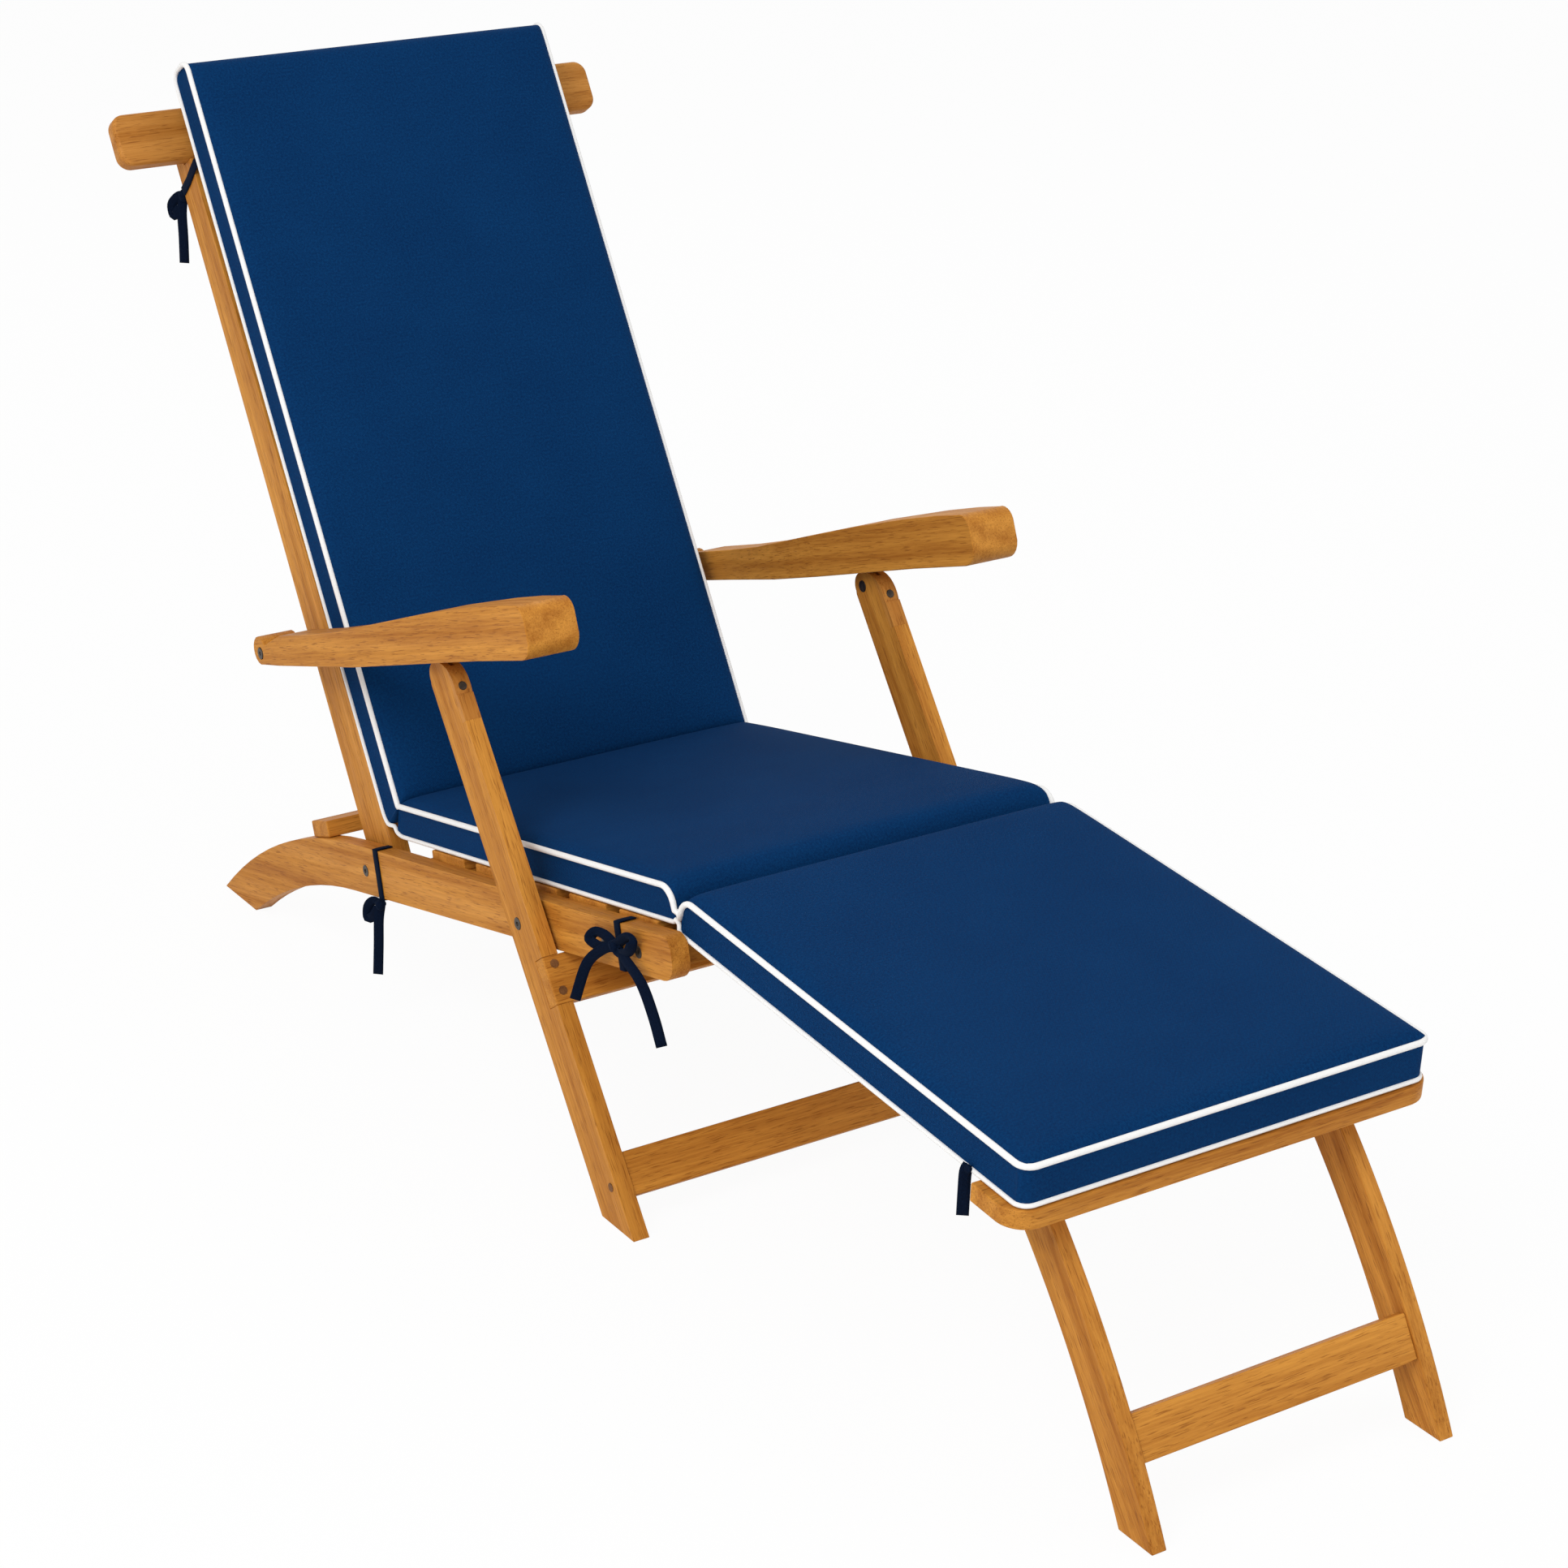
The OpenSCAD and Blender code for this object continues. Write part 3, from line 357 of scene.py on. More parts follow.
finish_with(slats, teak("teak_slats", across_x, shift=0.31))
finish_with(crossers, teak("teak_crossbars", across_x))
# The head rail's teak is a darker copy of the same wood. Its lower light colour paints the shade on the
# rail's front.
finish_with(["head_rail"], teak("teak_head_rail_painted_shade", across_x, light=(0.63, 0.275, 0.058, 1)))
finish_with(sides("seat_rail"), teak("teak_seat_rails", (rail_slope, 0, 0)))
finish_with(sides("seat_cleat"), teak("teak_cleats", (seat_angle, 0, 0), shift=0.17))
finish_with(sides("back_stile"), teak("teak_stiles", (-stile_angle, 0, 0)))
finish_with(sides("arm"), teak("teak_arms", (arm_slope, 0, 0), shift=0.09))
finish_with(sides("main_leg"), teak("teak_legs", (-leg_angle, 0, 0)))
finish_with(["leg_caps"], teak("teak_caps", (-leg_angle, 0, 0), light=(0.63, 0.28, 0.058, 1), shift=0.4))
finish_with(sides("footrest_rail"), teak("teak_foot_rails", (-footrest_slope, 0, 0)))
finish_with(sides("footrest_leg"), teak("teak_foot_legs", (-foot_leg_angle, 0, 0), shift=0.22))
finish_with(["stretcher_plugs"],
            teak("dark_plugs", (0, 90, 0), light=(0.30, 0.13, 0.045, 1), dark=(0.10, 0.04, 0.015, 1)))

thin_edge, board_edge, arm_edge, small_edge = 1.6 * MM, 2.0 * MM, 5.0 * MM, 0.6 * MM
for name in slats + crossers + sides("seat_cleat") + sides("footrest_rail"):
    ease(name, thin_edge)
for name in sides("seat_rail") + sides("back_stile") + sides("main_leg") + sides("footrest_leg"):
    ease(name, board_edge)
for name in sides("arm") + ["head_rail"]:
    ease(name, arm_edge, 4)
ease("leg_caps", small_edge)
print("eased", sum(1 for n in nodes.values() if n.modifiers), "wooden nodes")

# %% [markdown]
# The bolts are barrel bolts in dark antique bronze, and the hinges are plain satin steel.
# Old bronze is not one colour: it drifts between a dark brown and a brighter one, as if rubbed.

# %% Bronze and steel
def worn_metal(name, base, bright, metallic, low_rough, high_rough):
    material, tree, shader = new_material(name)
    where = tree.nodes.new("ShaderNodeTexCoord").outputs["Object"]
    clouds = noise(tree, where, 140.0, 4.0)
    fine = noise(tree, where, 900.0, 3.0)
    colour = mix_colour(tree, remap(tree, clouds, 0.35, 0.7), base, bright)
    tree.links.new(colour, shader.inputs["Base Color"])
    tree.links.new(remap(tree, fine, 0.3, 0.7, low_rough, high_rough), shader.inputs["Roughness"])
    shader.inputs["Metallic"].default_value = metallic
    bump(tree, fine, 0.06 * MM, shader)
    return material


bronze = worn_metal("dark_bronze", (0.020, 0.015, 0.012, 1), (0.075, 0.052, 0.034, 1),
                    metallic=0.55, low_rough=0.28, high_rough=0.45)
steel = worn_metal("satin_steel", (0.36, 0.34, 0.30, 1), (0.48, 0.46, 0.42, 1),
                   metallic=1.0, low_rough=0.28, high_rough=0.42)
bolt_nodes = ["rail_bolts", "leg_pivot_bolts", "arm_pivot_bolts", "arm_link_pins",
              "footrest_hinge_pins", "leg_cap_screws", "footrest_leg_bolts"]
steel_nodes = ["arm_spacers", "footrest_hinges"] + sides("arm_hinge")
finish_with(bolt_nodes, bronze)
finish_with(steel_nodes, steel)
for name in bolt_nodes:
    ease(name, small_edge, 2)
print("bronze on", len(bolt_nodes), "nodes, steel on", len(steel_nodes))

# %% [markdown]
# The cushion cover is a solution-dyed canvas: a plain weave of slightly flecked navy yarn.
# The threads cross over and under, so a checked height is made from two sets of waves, which read
# the piece's own UV map in metres. That keeps the weave square to the cloth on every panel. The piping
# is too thin for its weave to be followed, so it reads the object's coordinates instead.

# %% Canvas, piping and tape
def make_weave():
    tree, given, put = new_group(
        "plain_weave",
        [("Vector", "NodeSocketVector", None), ("Yarn", "NodeSocketColor", (0.01, 0.05, 0.1, 1)),
         ("Fleck", "NodeSocketColor", (0.02, 0.08, 0.2, 1)), ("Threads", "NodeSocketFloat", 900.0)],
        [("Color", "NodeSocketColor"), ("Roughness", "NodeSocketFloat"), ("Height", "NodeSocketFloat")],
    )
    scaled = tree.nodes.new("ShaderNodeVectorMath")
    scaled.operation = "SCALE"
    tree.links.new(given.outputs["Vector"], scaled.inputs[0])
    tree.links.new(given.outputs["Threads"], scaled.inputs["Scale"])
    parts = tree.nodes.new("ShaderNodeSeparateXYZ")
    tree.links.new(scaled.outputs[0], parts.inputs[0])
    warp = math_node(tree, "SINE", math_node(tree, "MULTIPLY", parts.outputs["X"], math.pi), 0)
    weft = math_node(tree, "SINE", math_node(tree, "MULTIPLY", parts.outputs["Y"], math.pi), 0)
    crossing = math_node(tree, "MULTIPLY", warp, weft)
    yarn = noise(tree, scaled.outputs[0], 0.45, 3.0)
    slub = noise(tree, stretched(tree, scaled.outputs[0], (0.012, 0.4, 1.0)), 1.0, 2.0)
    cloud = noise(tree, given.outputs["Vector"], 9.0, 3.0)
    fleck = remap(tree, yarn, 0.35, 0.72, 0.0, 0.60)
    fleck = math_node(tree, "ADD", fleck, remap(tree, crossing, -1, 1, 0, 0.10))
    fleck = math_node(tree, "ADD", fleck, remap(tree, slub, 0.4, 0.7, 0.0, 0.05))
    fleck = math_node(tree, "ADD", fleck, remap(tree, cloud, 0.35, 0.65, -0.04, 0.08))
    colour = mix_colour(tree, fleck, given.outputs["Yarn"], given.outputs["Fleck"])
    tree.links.new(colour, put.inputs["Color"])
    tree.links.new(remap(tree, yarn, 0.3, 0.7, 0.78, 0.92), put.inputs["Roughness"])
    height = math_node(tree, "ADD", math_node(tree, "MULTIPLY", crossing, 0.5), yarn)
    tree.links.new(height, put.inputs["Height"])
    return tree


weave = make_weave()


def cloth(name, yarn, fleck, threads, sheen, bump_depth, coordinate="UV"):
    material, tree, shader = new_material(name)
    where = tree.nodes.new("ShaderNodeTexCoord")
    woven = tree.nodes.new("ShaderNodeGroup")
    woven.node_tree = weave
    woven.inputs["Yarn"].default_value = yarn
    woven.inputs["Fleck"].default_value = fleck
    woven.inputs["Threads"].default_value = threads
    tree.links.new(where.outputs[coordinate], woven.inputs["Vector"])
    tree.links.new(woven.outputs["Color"], shader.inputs["Base Color"])
    tree.links.new(woven.outputs["Roughness"], shader.inputs["Roughness"])
    shader.inputs["Specular IOR Level"].default_value = 0.05
    shader.inputs["Sheen Weight"].default_value = sheen
    shader.inputs["Sheen Roughness"].default_value = 0.45
    shader.inputs["Sheen Tint"].default_value = (0.35, 0.55, 0.9, 1)
    bump(tree, woven.outputs["Height"], bump_depth, shader, 0.8)
    return material


canvas = cloth("navy_canvas", (0.0007, 0.0215, 0.086, 1), (0.0032, 0.050, 0.165, 1),
               threads=950.0, sheen=0.01, bump_depth=0.20 * MM)
cord = cloth("white_piping", (0.90, 0.89, 0.87, 1), (0.96, 0.96, 0.95, 1),
             threads=1100.0, sheen=0.0, bump_depth=0.08 * MM, coordinate="Object")
tape = cloth("navy_tape", (0.0014, 0.004, 0.014, 1), (0.004, 0.012, 0.034, 1),
             threads=1300.0, sheen=0.02, bump_depth=0.15 * MM)
print("cloths:", ", ".join(m.name for m in (canvas, cord, tape)))

# %% [markdown]
# Each cushion section has its own flat frame: x across the chair, s along the section from the fold
# where it starts, and h above the lower piping. A section is drawn in those three, and then laid on
# the chair. Where two sections meet, the seams are drawn in, as they are at the real cushion's folds.

# %% The three sections and how they lie on the chair
cushion_w = 445 * MM
corner = 13 * MM
crown = 14 * MM
fold_gap = 4 * MM
mitre_reach, mitre_overlap, mitre_depth = 30 * MM, 1 * MM, 13 * MM

# What each kind of end does to its upper and its lower seam: how far it draws the seam in, and from where.
plain = {"top": (0, 0), "low": (0, 0)}
rear_fold = {"top": (0, 0), "low": (8 * MM, 12 * MM)}
head_end = {"top": (13 * MM, 13 * MM), "low": (13 * MM, 13 * MM)}
front_fold = {"top": (22 * MM, 20 * MM), "low": (3 * MM, 6 * MM)}


def direction(degrees):
    """A direction in the chair's side view: 0 is level towards the head, and 90 is straight up."""
    return Vector((0, math.cos(math.radians(degrees)), math.sin(math.radians(degrees))))


class Section:
    """One section of the cushion: where it starts, which way it runs, and its folds."""

    def __init__(self, start, along, up, length, thick, folds):
        self.start = start
        self.along = along
        self.up = up
        self.length = length
        self.thick = thick
        self.folds = folds

    def place(self, x, s, h):
        return Vector((x, 0, 0)) + self.start + s * self.along + h * self.up

    def ends(self, s):
        """The distance from each end."""
        return s, self.length - s

    def drop(self, s, key):
        """How far the top edge sinks, or the lower edge rises, towards a fold."""
        total = 0.0
        for fold, e in zip(self.folds, self.ends(s)):
            depth, reach = fold[key]
            if depth and e < reach:
                part = 1 - max(e, 0) / reach
                total += depth * (1 - math.sqrt(max(0.0, 1 - part * part)))
        return total

    def mitre(self, s, share):
        """How far the pad reaches past its start at the rear crease. share is 0 at the lower seam, 1 on top.

        The two pads meet there in a mitre, because the crease is on their upper side."""
        if self.folds[0] is not rear_fold or s > mitre_reach:
            return 0.0
        return (fold_gap + mitre_overlap + mitre_depth * (1 - share)) * (1 - s / mitre_reach)


# The rear crease on the middle plane, what each section measures, and how much lower and how much
# further on than the front crease the footrest's section starts.
crease = Vector((0, 379.856, 249.294)) * MM
seat_t, back_t, foot_t = 34 * MM, 42 * MM, 38 * MM
seat_length, back_length, footrest_length = 587 * MM, 855 * MM, 548 * MM
back_angle = 58.555
foot_step, foot_gap = 4 * MM, 12 * MM

seat_along, seat_up = direction(180 - seat_angle), direction(90 - seat_angle)
back_along, back_up = direction(back_angle), direction(back_angle + 90)
foot_along, foot_up = direction(180 + footrest_slope), direction(90 + footrest_slope)
front_crease = crease + (2 * fold_gap + seat_length) * seat_along

seat = Section(crease + fold_gap * seat_along - seat_t * seat_up, seat_along, seat_up,
               seat_length, seat_t, (rear_fold, front_fold))
back = Section(crease + fold_gap * back_along - back_t * back_up, back_along, back_up,
               back_length, back_t, (rear_fold, head_end))
foot = Section(front_crease + foot_gap * foot_along - (foot_step + foot_t) * foot_up, foot_along, foot_up,
               footrest_length, foot_t, (front_fold, plain))
for label, section, node in (("seat", seat, "seat_cushion"), ("back", back, "back_cushion"),
                             ("footrest", foot, "footrest_cushion")):
    low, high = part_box(node)
    far = section.place(0, section.length, 0)
    print(label, "section ends at", tuple(round(c, 3) for c in far), "solid from",
          tuple(round(c, 3) for c in low), "to", tuple(round(c, 3) for c in high))

# %% [markdown]
# A boxed cushion is a top panel and a bottom panel with a side band sewn between them. Stuffing
# pushes the top up into a crown, while the seams hold the edges down and pull the band in a little.
# The pad starts as a box. Its upright edges are bevelled to corners, and planes cut it into a net that
# is close near the seams. Then each point is moved: up by the crown, in by the band, down at a fold.

# %% Cut each pad's box into a net
fold_corner = 4 * MM
seam_cuts = [1.5 * MM, 4 * MM, 8 * MM, 15 * MM, 32 * MM]
net_step = 32 * MM


def cut_stations(full):
    """Where planes cut a side of this length: close to both ends, then evenly."""
    inner = full - 2 * seam_cuts[-1]
    count = max(2, round(inner / net_step))
    even = [seam_cuts[-1] + inner * i / count for i in range(1, count)]
    return sorted([*seam_cuts, *even, *[full - c for c in seam_cuts]])


def boxed_net(section):
    """The section as a box in its own flat frame, with rounded upright edges and its cuts."""
    bm = bmesh.new()
    bmesh.ops.create_cube(bm, size=1.0)
    bmesh.ops.scale(bm, vec=(cushion_w, section.length, section.thick), verts=bm.verts)
    bmesh.ops.translate(bm, vec=(0, section.length / 2, section.thick / 2), verts=bm.verts)
    for at_start in (True, False):
        fold_end = section.folds[0 if at_start else 1] is not plain
        upright = [e for e in bm.edges if abs(e.verts[0].co.z - e.verts[1].co.z) > section.thick / 2
                   and (e.verts[0].co.y < section.length / 2) == at_start]
        bmesh.ops.bevel(bm, geom=upright, offset=fold_corner if fold_end else corner, offset_type="OFFSET",
                        segments=5, profile=0.5, affect="EDGES", material=-1)
    planes = [((x - cushion_w / 2, 0, 0), (1, 0, 0)) for x in cut_stations(cushion_w)]
    planes += [((0, s, 0), (0, 1, 0)) for s in cut_stations(section.length)]
    planes += [((0, 0, section.thick * share), (0, 0, 1)) for share in (0.12, 0.5, 0.88)]
    for place, normal in planes:
        bmesh.ops.bisect_plane(bm, geom=[*bm.verts, *bm.edges, *bm.faces], plane_co=place, plane_no=normal)
    bmesh.ops.dissolve_degenerate(bm, dist=0.05 * MM, edges=bm.edges)
    return bm


print("cuts along the seat, the back and the footrest:",
      [len(cut_stations(section.length)) for section in (seat, back, foot)])

# %% [markdown]
# The stuffing fills a pad fast near its seams and then slowly up to the middle, so the crown is the sum
# of two swells: a steep one near the seams, and a wide one that rises both along and across the pad.

# %% Stuff and sew the three pads
steep_reach, wide_reach = 15 * MM, 90 * MM
steep_part = 0.62
underside_sag = 2.4 * MM
band_pull = 2.6 * MM


def eased(e, reach, power=2.4):
    """0 at an edge, 1 from reach inwards, rising fast at first."""
    return 1 - (1 - min(max(e, 0) / reach, 1)) ** power


def stuffed(section, x, s, h):
    """Where a point of the box goes when the pad is stuffed and its seams are drawn in."""
    edge_x = cushion_w / 2 - abs(x)
    edge_s = min(section.ends(s))
    inward = min(edge_x, edge_s)
    share = h / section.thick
    wide = eased(edge_x, wide_reach) * eased(edge_s, wide_reach)
    swell = steep_part * eased(inward, steep_reach, 2.2) + (1 - steep_part) * wide
    top = section.thick - section.drop(s, "top") + crown * swell
    low = section.drop(s, "low") - underside_sag * eased(inward, wide_reach)
    if edge_x < 0.5 * MM:
        x -= math.copysign(band_pull * (1 - (2 * share - 1) ** 2), x)
    return x, s - section.mitre(s, share), low + (top - low) * share


def lay_canvas(bm):
    """Gives every face its UV in metres: a panel reads x and s, a side band h and s, an end band x and h."""
    layer = bm.loops.layers.uv.new("cloth")
    bm.normal_update()
    for face in bm.faces:
        n = face.normal
        face.smooth = True
        for loop in face.loops:
            x, s, h = loop.vert.co
            if abs(n.z) > 0.6:
                loop[layer].uv = (x, s)
            elif abs(n.x) > abs(n.y):
                loop[layer].uv = (h, s)
            else:
                loop[layer].uv = (x, h)


def sewn_pad(name, section):
    bm = boxed_net(section)
    for v in bm.verts:
        v.co = stuffed(section, *v.co)
    lay_canvas(bm)
    for v in bm.verts:
        v.co = section.place(*v.co)
    bmesh.ops.recalc_face_normals(bm, faces=bm.faces)
    piece = piece_from(bm, name, canvas)
    soften = piece.modifiers.new("soften", "SUBSURF")
    soften.levels = 2
    soften.render_levels = 2
    soften.uv_smooth = "PRESERVE_BOUNDARIES"
    print(name, len(piece.data.polygons), "faces before smoothing")
    return piece


seat_pad = sewn_pad("seat_pad", seat)
back_pad = sewn_pad("back_pad", back)
foot_pad = sewn_pad("footrest_pad", foot)
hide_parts("seat_cushion")
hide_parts("back_cushion")
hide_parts("footrest_cushion")

# %% [markdown]
# Piping is a cord in a folded strip of white cloth, caught in the seam. It runs round the open edges
# and dives into each fold, where the panels pinch it. At the head the panel wraps over the end, so
# there the piping only edges the two side bands. Each run is one curve with a round section, drawn
# through points of the seam and then made a mesh.

# %% Find the seams
level_share = {"top": 1, "low": 0}
seam_step = 16 * MM
seam_inset = 2 * MM
fold_steps = [e * MM for e in (0.0, 1.5, 3.5, 6, 9, 12, 16, 20, 26)]


def seam_height(section, level, s):
    if level == "top":
        return section.thick - section.drop(s, "top")
    return section.drop(s, "low")


def seam_point(section, level, x, s):
    """A point of the upper or the lower seam, where the mitre at the rear crease puts it."""
    return section.place(x, s - section.mitre(s, level_share[level]), seam_height(section, level, s))


def fold_meet(first, first_s, second, level):
    """The point on the middle plane where the seams of two neighbours meet in a fold."""
    return (seam_point(first, level, 0, first_s) + seam_point(second, level, 0, 0)) / 2


def side_points(section, level, side, start_meet, end_meet=None):
    """The seam along one side, from its fold end, where it dives in, to the end of the straight part."""
    half = cushion_w / 2
    open_end = section.folds[1] is plain
    end = section.length - (corner if open_end else 0)
    count = round(end / seam_step)
    stations = fold_steps + [end * i / count for i in range(2, count - 1)]
    stations += [end] if open_end else [end - e for e in fold_steps]
    inset = Vector((side * (half - seam_inset), 0, 0))
    points = [start_meet + inset]
    points += [seam_point(section, level, side * half, s) for s in sorted(set(stations))]
    if end_meet is not None:
        points.append(end_meet + inset)
    return points


def end_points(section, level):
    """The seam round a far end, with its two corners, from the left side to the right."""
    half = cushion_w / 2 - corner
    h = seam_height(section, level, section.length)
    turns = [math.radians(a) for a in range(15, 91, 15)]
    left = [(-half - corner * math.cos(a), section.length - corner + corner * math.sin(a)) for a in turns]
    right = [(-x, s) for x, s in reversed(left)]
    middle = [(half * i / 4, section.length) for i in range(-3, 4)]
    return [section.place(x, s, h) for x, s in left + middle + right]


rear_meet = {level: fold_meet(seat, 0, back, level) for level in ("top", "low")}
front_meet = {level: fold_meet(seat, seat_length, foot, level) for level in ("top", "low")}
print("upper seams meet at", [[round(c, 3) for c in place["top"]] for place in (rear_meet, front_meet)])

# %% [markdown]
# The upper seam shows its whole cord. The lower one's cord sinks deeper between its two panels, so it
# is drawn thinner. On the back one cord runs up the upper seam, round the head and down the lower one,
# so each point of a run says which seam it is on, and the cord's thickness follows.

# %% Run the piping along the seams
piping_r = 3.0 * MM
cord_share = {"top": 1.0, "low": 0.78}


def piping(name, points, levels):
    """A cord through these points. levels holds the seam that each point is on."""
    line = bpy.data.curves.new(name, "CURVE")
    line.dimensions = "3D"
    line.bevel_depth = piping_r
    line.bevel_resolution = 4
    line.use_fill_caps = True
    spline = line.splines.new("POLY")
    spline.points.add(len(points) - 1)
    for knot_point, place, level in zip(spline.points, points, levels):
        knot_point.co = (*place, 1)
        knot_point.radius = cord_share[level]
    spline.use_smooth = True
    holder = bpy.data.objects.new(name + "_line", line)
    scene.collection.objects.link(holder)
    mesh = bpy.data.meshes.new_from_object(holder)
    bpy.data.objects.remove(holder)
    for face in mesh.polygons:
        face.use_smooth = True
    piece = new_piece(name, mesh, cord)
    return piece


back_runs, seat_runs, foot_runs = [], [], []
for level in ("top", "low"):
    left = side_points(foot, level, -1, front_meet[level])
    right = side_points(foot, level, 1, front_meet[level])
    line = left + end_points(foot, level) + right[::-1]
    foot_runs.append(piping(f"footrest_piping_{level}", line, [level] * len(line)))
    for label, side in (("left", -1), ("right", 1)):
        line = side_points(seat, level, side, rear_meet[level], front_meet[level])
        seat_runs.append(piping(f"seat_piping_{level}_{label}", line, [level] * len(line)))
for label, side in (("left", -1), ("right", 1)):
    upwards = side_points(back, "top", side, rear_meet["top"])
    downwards = side_points(back, "low", side, rear_meet["low"])[::-1]
    levels = ["top"] * len(upwards) + ["low"] * len(downwards)
    back_runs.append(piping(f"back_piping_{label}", upwards + downwards, levels))
for runs, node in ((back_runs, "back_piping"), (seat_runs, "seat_piping"), (foot_runs, "footrest_piping")):
    for run in runs:
        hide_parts(node)
print("piping runs:", len(back_runs + seat_runs + foot_runs))

# %% [markdown]
# The cushion is tied on with narrow woven tape: a loop round the wood, a knot, and loose tails.
# A tape is a long grid of faces, three across, whose rows are carried along a smooth path and turned
# to lie flat on what they pass. A thin Solidify gives it its thickness.

# %% Cut the tapes
tape_w = 11 * MM
tape_t = 1.0 * MM
path_steps = 5


def through(points):
    """A smooth path through given points, as Catmull and Rom's spline."""
    line = [Vector(p) for p in points]
    line = [2 * line[0] - line[1]] + line + [2 * line[-1] - line[-2]]
    path = []
    for a, b, c, d in zip(line, line[1:], line[2:], line[3:]):
        for i in range(path_steps):
            t = i / path_steps
            path.append(0.5 * (2 * b + (c - a) * t + (2 * a - 5 * b + 4 * c - d) * t * t
                               + (3 * b - a - 3 * c + d) * t ** 3))
    return path + [line[-2]]


def wrapped(name, path, looks):
    """A tape along a path, with the way its flat side looks given at each point."""
    reach = [0.0]
    for a, b in zip(path, path[1:]):
        reach.append(reach[-1] + (b - a).length)
    last = len(path) - 1
    bm = bmesh.new()
    bmesh.ops.create_grid(bm, x_segments=3, y_segments=last, size=0.5)
    layer = bm.loops.layers.uv.new("cloth")
    spot = {v: (v.co.x, round((v.co.y + 0.5) * last)) for v in bm.verts}
    for face in bm.faces:
        face.smooth = True
        for loop in face.loops:
            x, i = spot[loop.vert]
            loop[layer].uv = (x * tape_w, reach[i])
    for v, (x, i) in spot.items():
        ahead = (path[min(i + 1, last)] - path[max(i - 1, 0)]).normalized()
        v.co = path[i] + looks[i].cross(ahead).normalized() * x * tape_w
    piece = piece_from(bm, name, tape)
    thick = piece.modifiers.new("thick", "SOLIDIFY")
    thick.thickness = tape_t
    thick.offset = 0.0
    return piece


def ribbon(name, points, look):
    """A tape through given points, whose flat side looks one way all along."""
    path = through(points)
    return wrapped(name, path, [look] * len(path))


def tied_knot(name, place, size):
    """A pulled knot: a lump of tape, its half sizes in millimetres, with the tape's turns pressed into it."""
    bm = bmesh.new()
    bmesh.ops.create_icosphere(bm, subdivisions=4, radius=1.0)
    layer = bm.loops.layers.uv.new("cloth")
    for v in bm.verts:
        c = v.co.normalized()
        turn = math.atan2(c.z + 0.4 * c.x, c.y)
        groove = 0.16 * math.exp(-((c.x - 0.25) / 0.16) ** 2)
        ridge = 1 + 0.10 * math.cos(3 * turn) + 0.12 * abs(c.x) - groove
        v.co = Vector([a * half * MM for a, half in zip(c, size)]) * ridge
    bmesh.ops.translate(bm, vec=place, verts=bm.verts)
    for face in bm.faces:
        face.smooth = True
        for loop in face.loops:
            loop[layer].uv = (loop.vert.co.y, loop.vert.co.z)
    piece = piece_from(bm, name, tape)
    return piece


print("tape", round(tape_w / MM), "mm wide and", round(tape_t / MM), "mm thick")

# %% [markdown]
# Each tie is built round the wood that it holds. The seat has a plain tie near the rear of each rail
# and a bow near its front, the back has one below the head rail, and the footrest has a single tape
# at each side near its end. The right side mirrors the left.
# A place on a rail or a stile counts in millimetres along the board from the back's pivot, and across it.

# %% Find places on the rails and the stiles, and wrap a rail
back_pivot = Vector((0, 419.292, 164)) * MM
rail_in, rail_out, stile_out = 225.8 * MM, 245.8 * MM, 221.8 * MM
rail_along, rail_up = direction(180 - rail_slope), direction(90 - rail_slope)
stile_along, stile_behind = direction(stile_angle), direction(stile_angle - 90)
rail_half = 27
tape_off = 1.2
tape_lift = 0.9 * MM


def on_rail(a, h, x):
    return back_pivot + a * MM * rail_along + h * MM * rail_up + Vector((x, 0, 0))


def on_stile(t, q, x):
    return back_pivot + t * MM * stile_along + q * MM * stile_behind + Vector((x, 0, 0))


def rail_wrap(name, a, top, side):
    """The tape over the rail: from the cushion over its top, down its outer face and under it."""
    inner, edge, face = [side * x for x in (rail_in + 1.5 * MM, rail_out - 1 * MM, rail_out + tape_lift)]
    over, under = top + tape_off, -rail_half - tape_off
    path = through([on_rail(a, over, inner), on_rail(a, over, edge), on_rail(a, top - 2, face),
                    on_rail(a, 0, face), on_rail(a, 2 - rail_half, face), on_rail(a, under, edge),
                    on_rail(a, under, inner)])
    out = Vector((side, 0, 0))
    turn_rate = 3.2
    looks = []
    for i in range(len(path)):
        share = i / (len(path) - 1)
        if share < 0.5:
            looks.append(rail_up.lerp(out, min(1, share * turn_rate)))
        else:
            looks.append(out.lerp(-rail_up, max(0, 1 - (1 - share) * turn_rate)))
    return wrapped(name, path, looks)


print("the back's pivot is at", tuple(round(c, 3) for c in back_pivot))

# %% [markdown]
# A bow is four tapes that leave one knot, and a plain tie is two. Their routes are short lists of steps
# from the knot: x outwards, y towards the head and z up, in millimetres.

# %% Tie the cushion to the wood
rear_tie, front_tie, back_tie, foot_tie = 34, 574, 805, 73
rear_drop, front_drop = 0.4, 9 * front_tie / 672
rear_tie_paths = {
    "loop": ((0, 0, 0), (3, 11, 1), (6, 19, -8), (6, 20, -22), (4, 10, -16), (2, 2, -4)),
    "tail": ((0, 0, 0), (2, 2, -18), (4, 1, -46), (5, 4, -84)),
}
front_tie_paths = {
    "bow_rear": ((0, 0, 0), (2, 14, 6), (5, 28, 5), (8, 34, -4), (5, 20, -7), (0, 1, -2)),
    "bow_front": ((0, 0, 0), (1, -12, 9), (2.5, -29, 21), (4, -40, 20), (3, -32, 7), (1, -12, -3),
                  (0, -1, 1)),
    "tail_rear": ((0, 0, 0), (6, 15, -9), (12, 34, -30), (18, 48, -72)),
    "tail_front": ((0, 0, 0), (2, -27, -6), (3, -56, -18), (3, -77, -43), (2, -90, -70)),
}
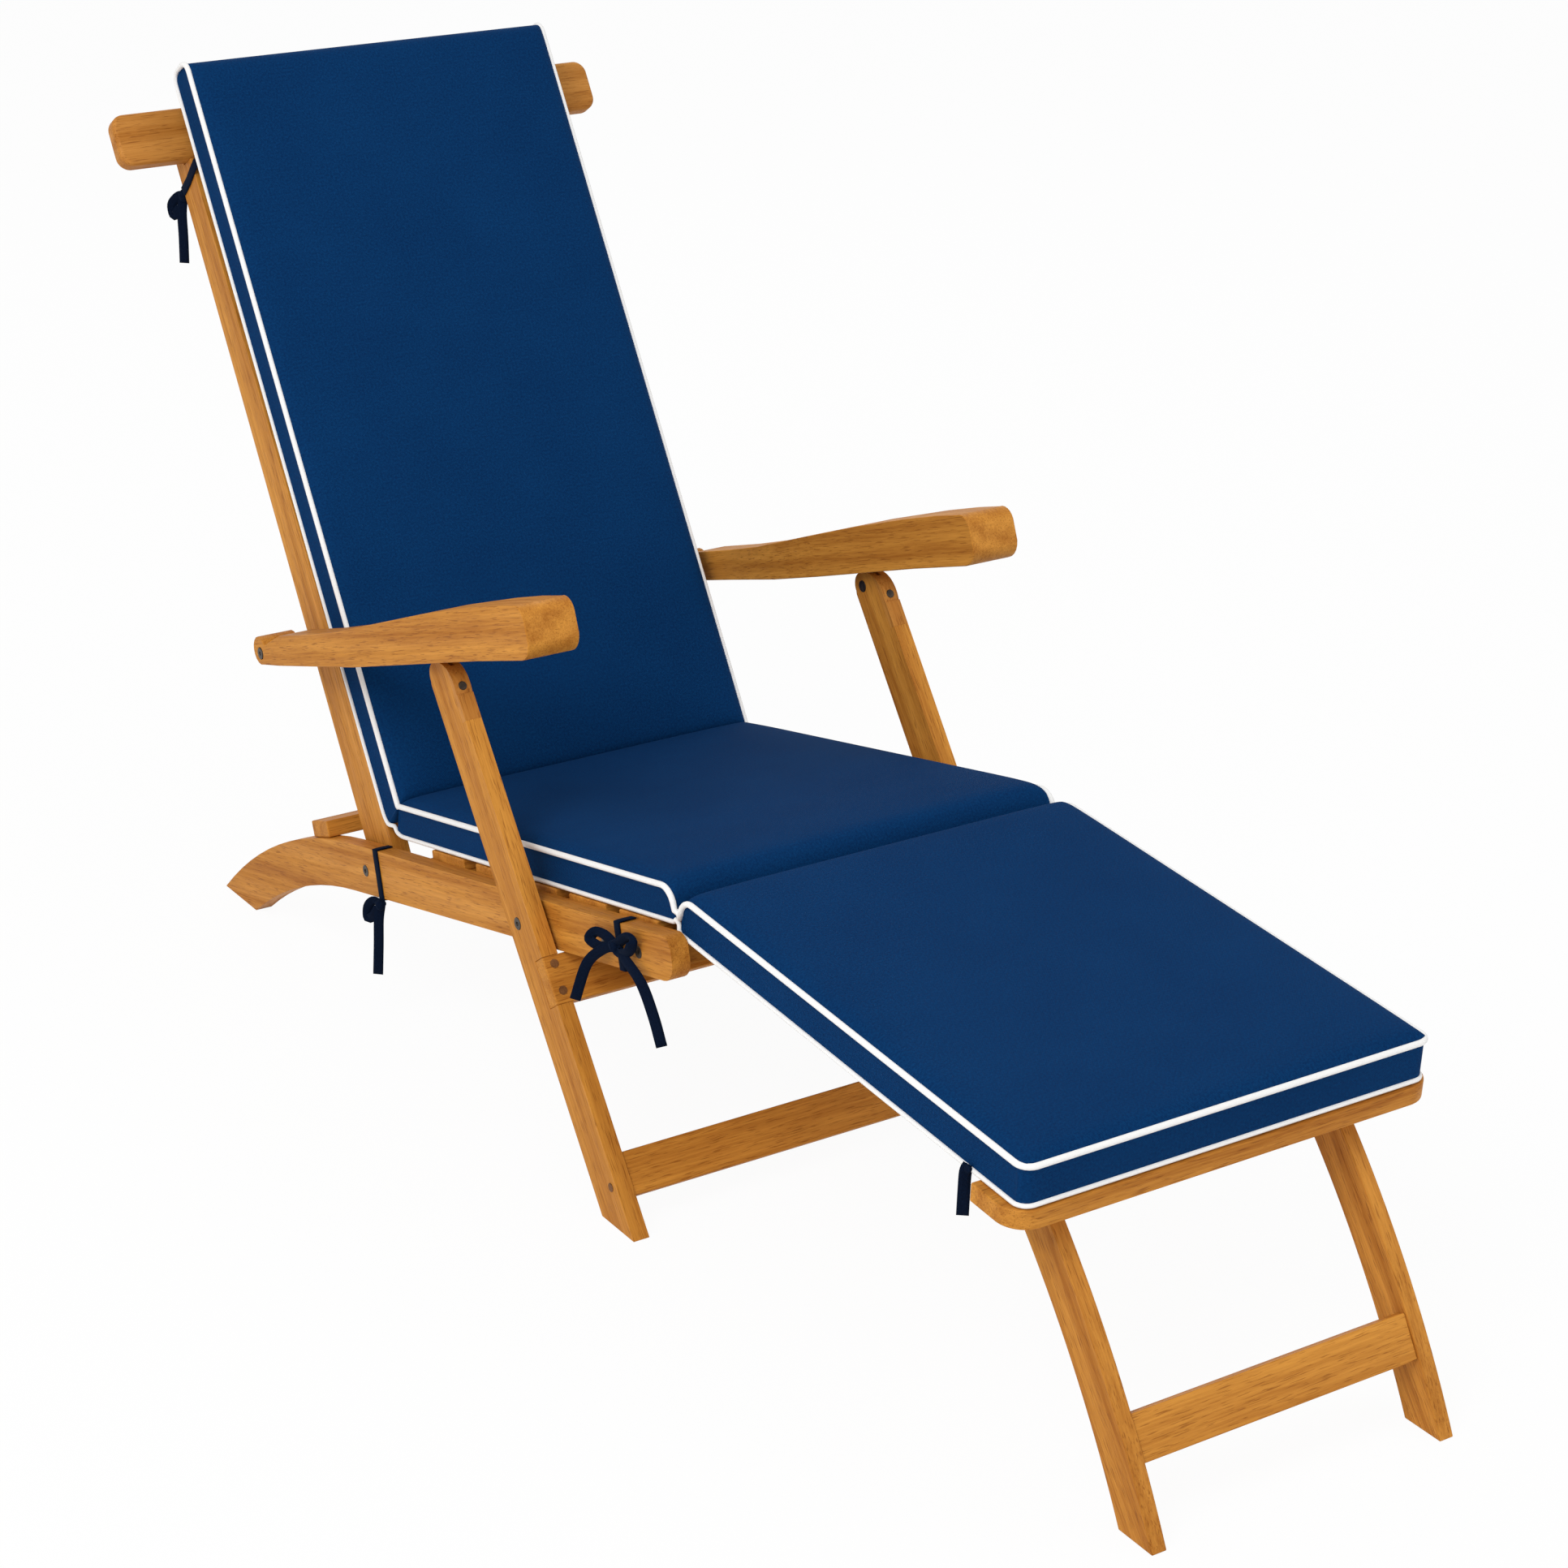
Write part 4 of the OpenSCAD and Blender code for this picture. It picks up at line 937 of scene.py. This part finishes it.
back_tie_paths = {
    "loop": ((0, 0, 0), (4, 8, -3), (8, 16, -13), (7, 13, -25), (3, 4, -14)),
    "tail": ((0, 0, 0), (2, 3, -20), (3, 1, -48), (3, 3, -78)),
}
foot_tape_path = ((-2, 0, 3), (1.5, 0, -3), (2, 1, -22), (1.5, 3, -46))


def hanging(name, start, side, steps):
    """A loose tape from a place, with its flat side outwards and to the foot end."""
    points = [start + Vector((side * x, y, z)) * MM for x, y, z in steps]
    return ribbon(name, points, Vector((side * 0.6, -0.8, 0)))


def knot_and_ends(name, place, size, side, paths):
    """A knot and the loose tapes that leave it."""
    return [tied_knot(name + "_knot", place, size),
            *[hanging(f"{name}_{end}", place, side, steps) for end, steps in paths.items()]]


def seat_tie_pieces(side, label):
    rear, front = "seat_tie_rear_" + label, "seat_tie_front_" + label
    under_rail = on_rail(rear_tie, -rail_half - 6, side * (rail_out + 3.5 * MM))
    beside_rail = on_rail(front_tie, -2, side * (rail_out + 6.5 * MM))
    return [rail_wrap(rear, rear_tie, rail_half - rear_drop, side),
            *knot_and_ends(rear, under_rail, (5, 6.5, 6), side, rear_tie_paths),
            rail_wrap(front, front_tie, rail_half - front_drop, side),
            *knot_and_ends(front, beside_rail, (5, 6.5, 6.5), side, front_tie_paths)]


def back_tie_pieces(side, label):
    name = "back_tie_" + label
    band = [on_stile(back_tie + t, q, side * (stile_out + 1.2 * MM))
            for t, q in ((6, -24), (2, -8), (-4, 12), (-8, 33))]
    behind_stile = on_stile(back_tie - 10, 39, side * (stile_out - 1 * MM))
    return [ribbon(name, band, Vector((side, 0, 0))),
            *knot_and_ends(name, behind_stile, (5, 6, 7), side, back_tie_paths)]


def foot_tie_pieces(side, label):
    name = "footrest_tape_" + label
    root = foot.place(side * (cushion_w / 2 + 3.5 * MM), footrest_length - foot_tie * MM, 1 * MM)
    return [hanging(name, root, side, foot_tape_path), tied_knot(name + "_root", root, (2.5, 6, 4))]


ties = {"seat": [], "back": [], "footrest": []}
for side, label in ((-1, "left"), (1, "right")):
    ties["seat"] += seat_tie_pieces(side, label)
    ties["back"] += back_tie_pieces(side, label)
    ties["footrest"] += foot_tie_pieces(side, label)
for section_name, tie_pieces in ties.items():
    for piece in tie_pieces:
        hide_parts(section_name + "_ties")
print("tape pieces:", sum(len(v) for v in ties.values()))

# %% [markdown]
# The pads and the piping have their places baked into their meshes.
# The tapes ride on the wood that they are tied to.

# %% Bake the pads in place and hang the tapes on the wood
for piece in [seat_pad, back_pad, *seat_runs, *back_runs]:
    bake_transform(piece)
for piece in [foot_pad, *foot_runs]:
    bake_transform(piece)
for section_name, body in (("seat", "seat_frame"), ("back", "back"), ("footrest", "footrest")):
    for piece in ties[section_name]:
        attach(piece, body)
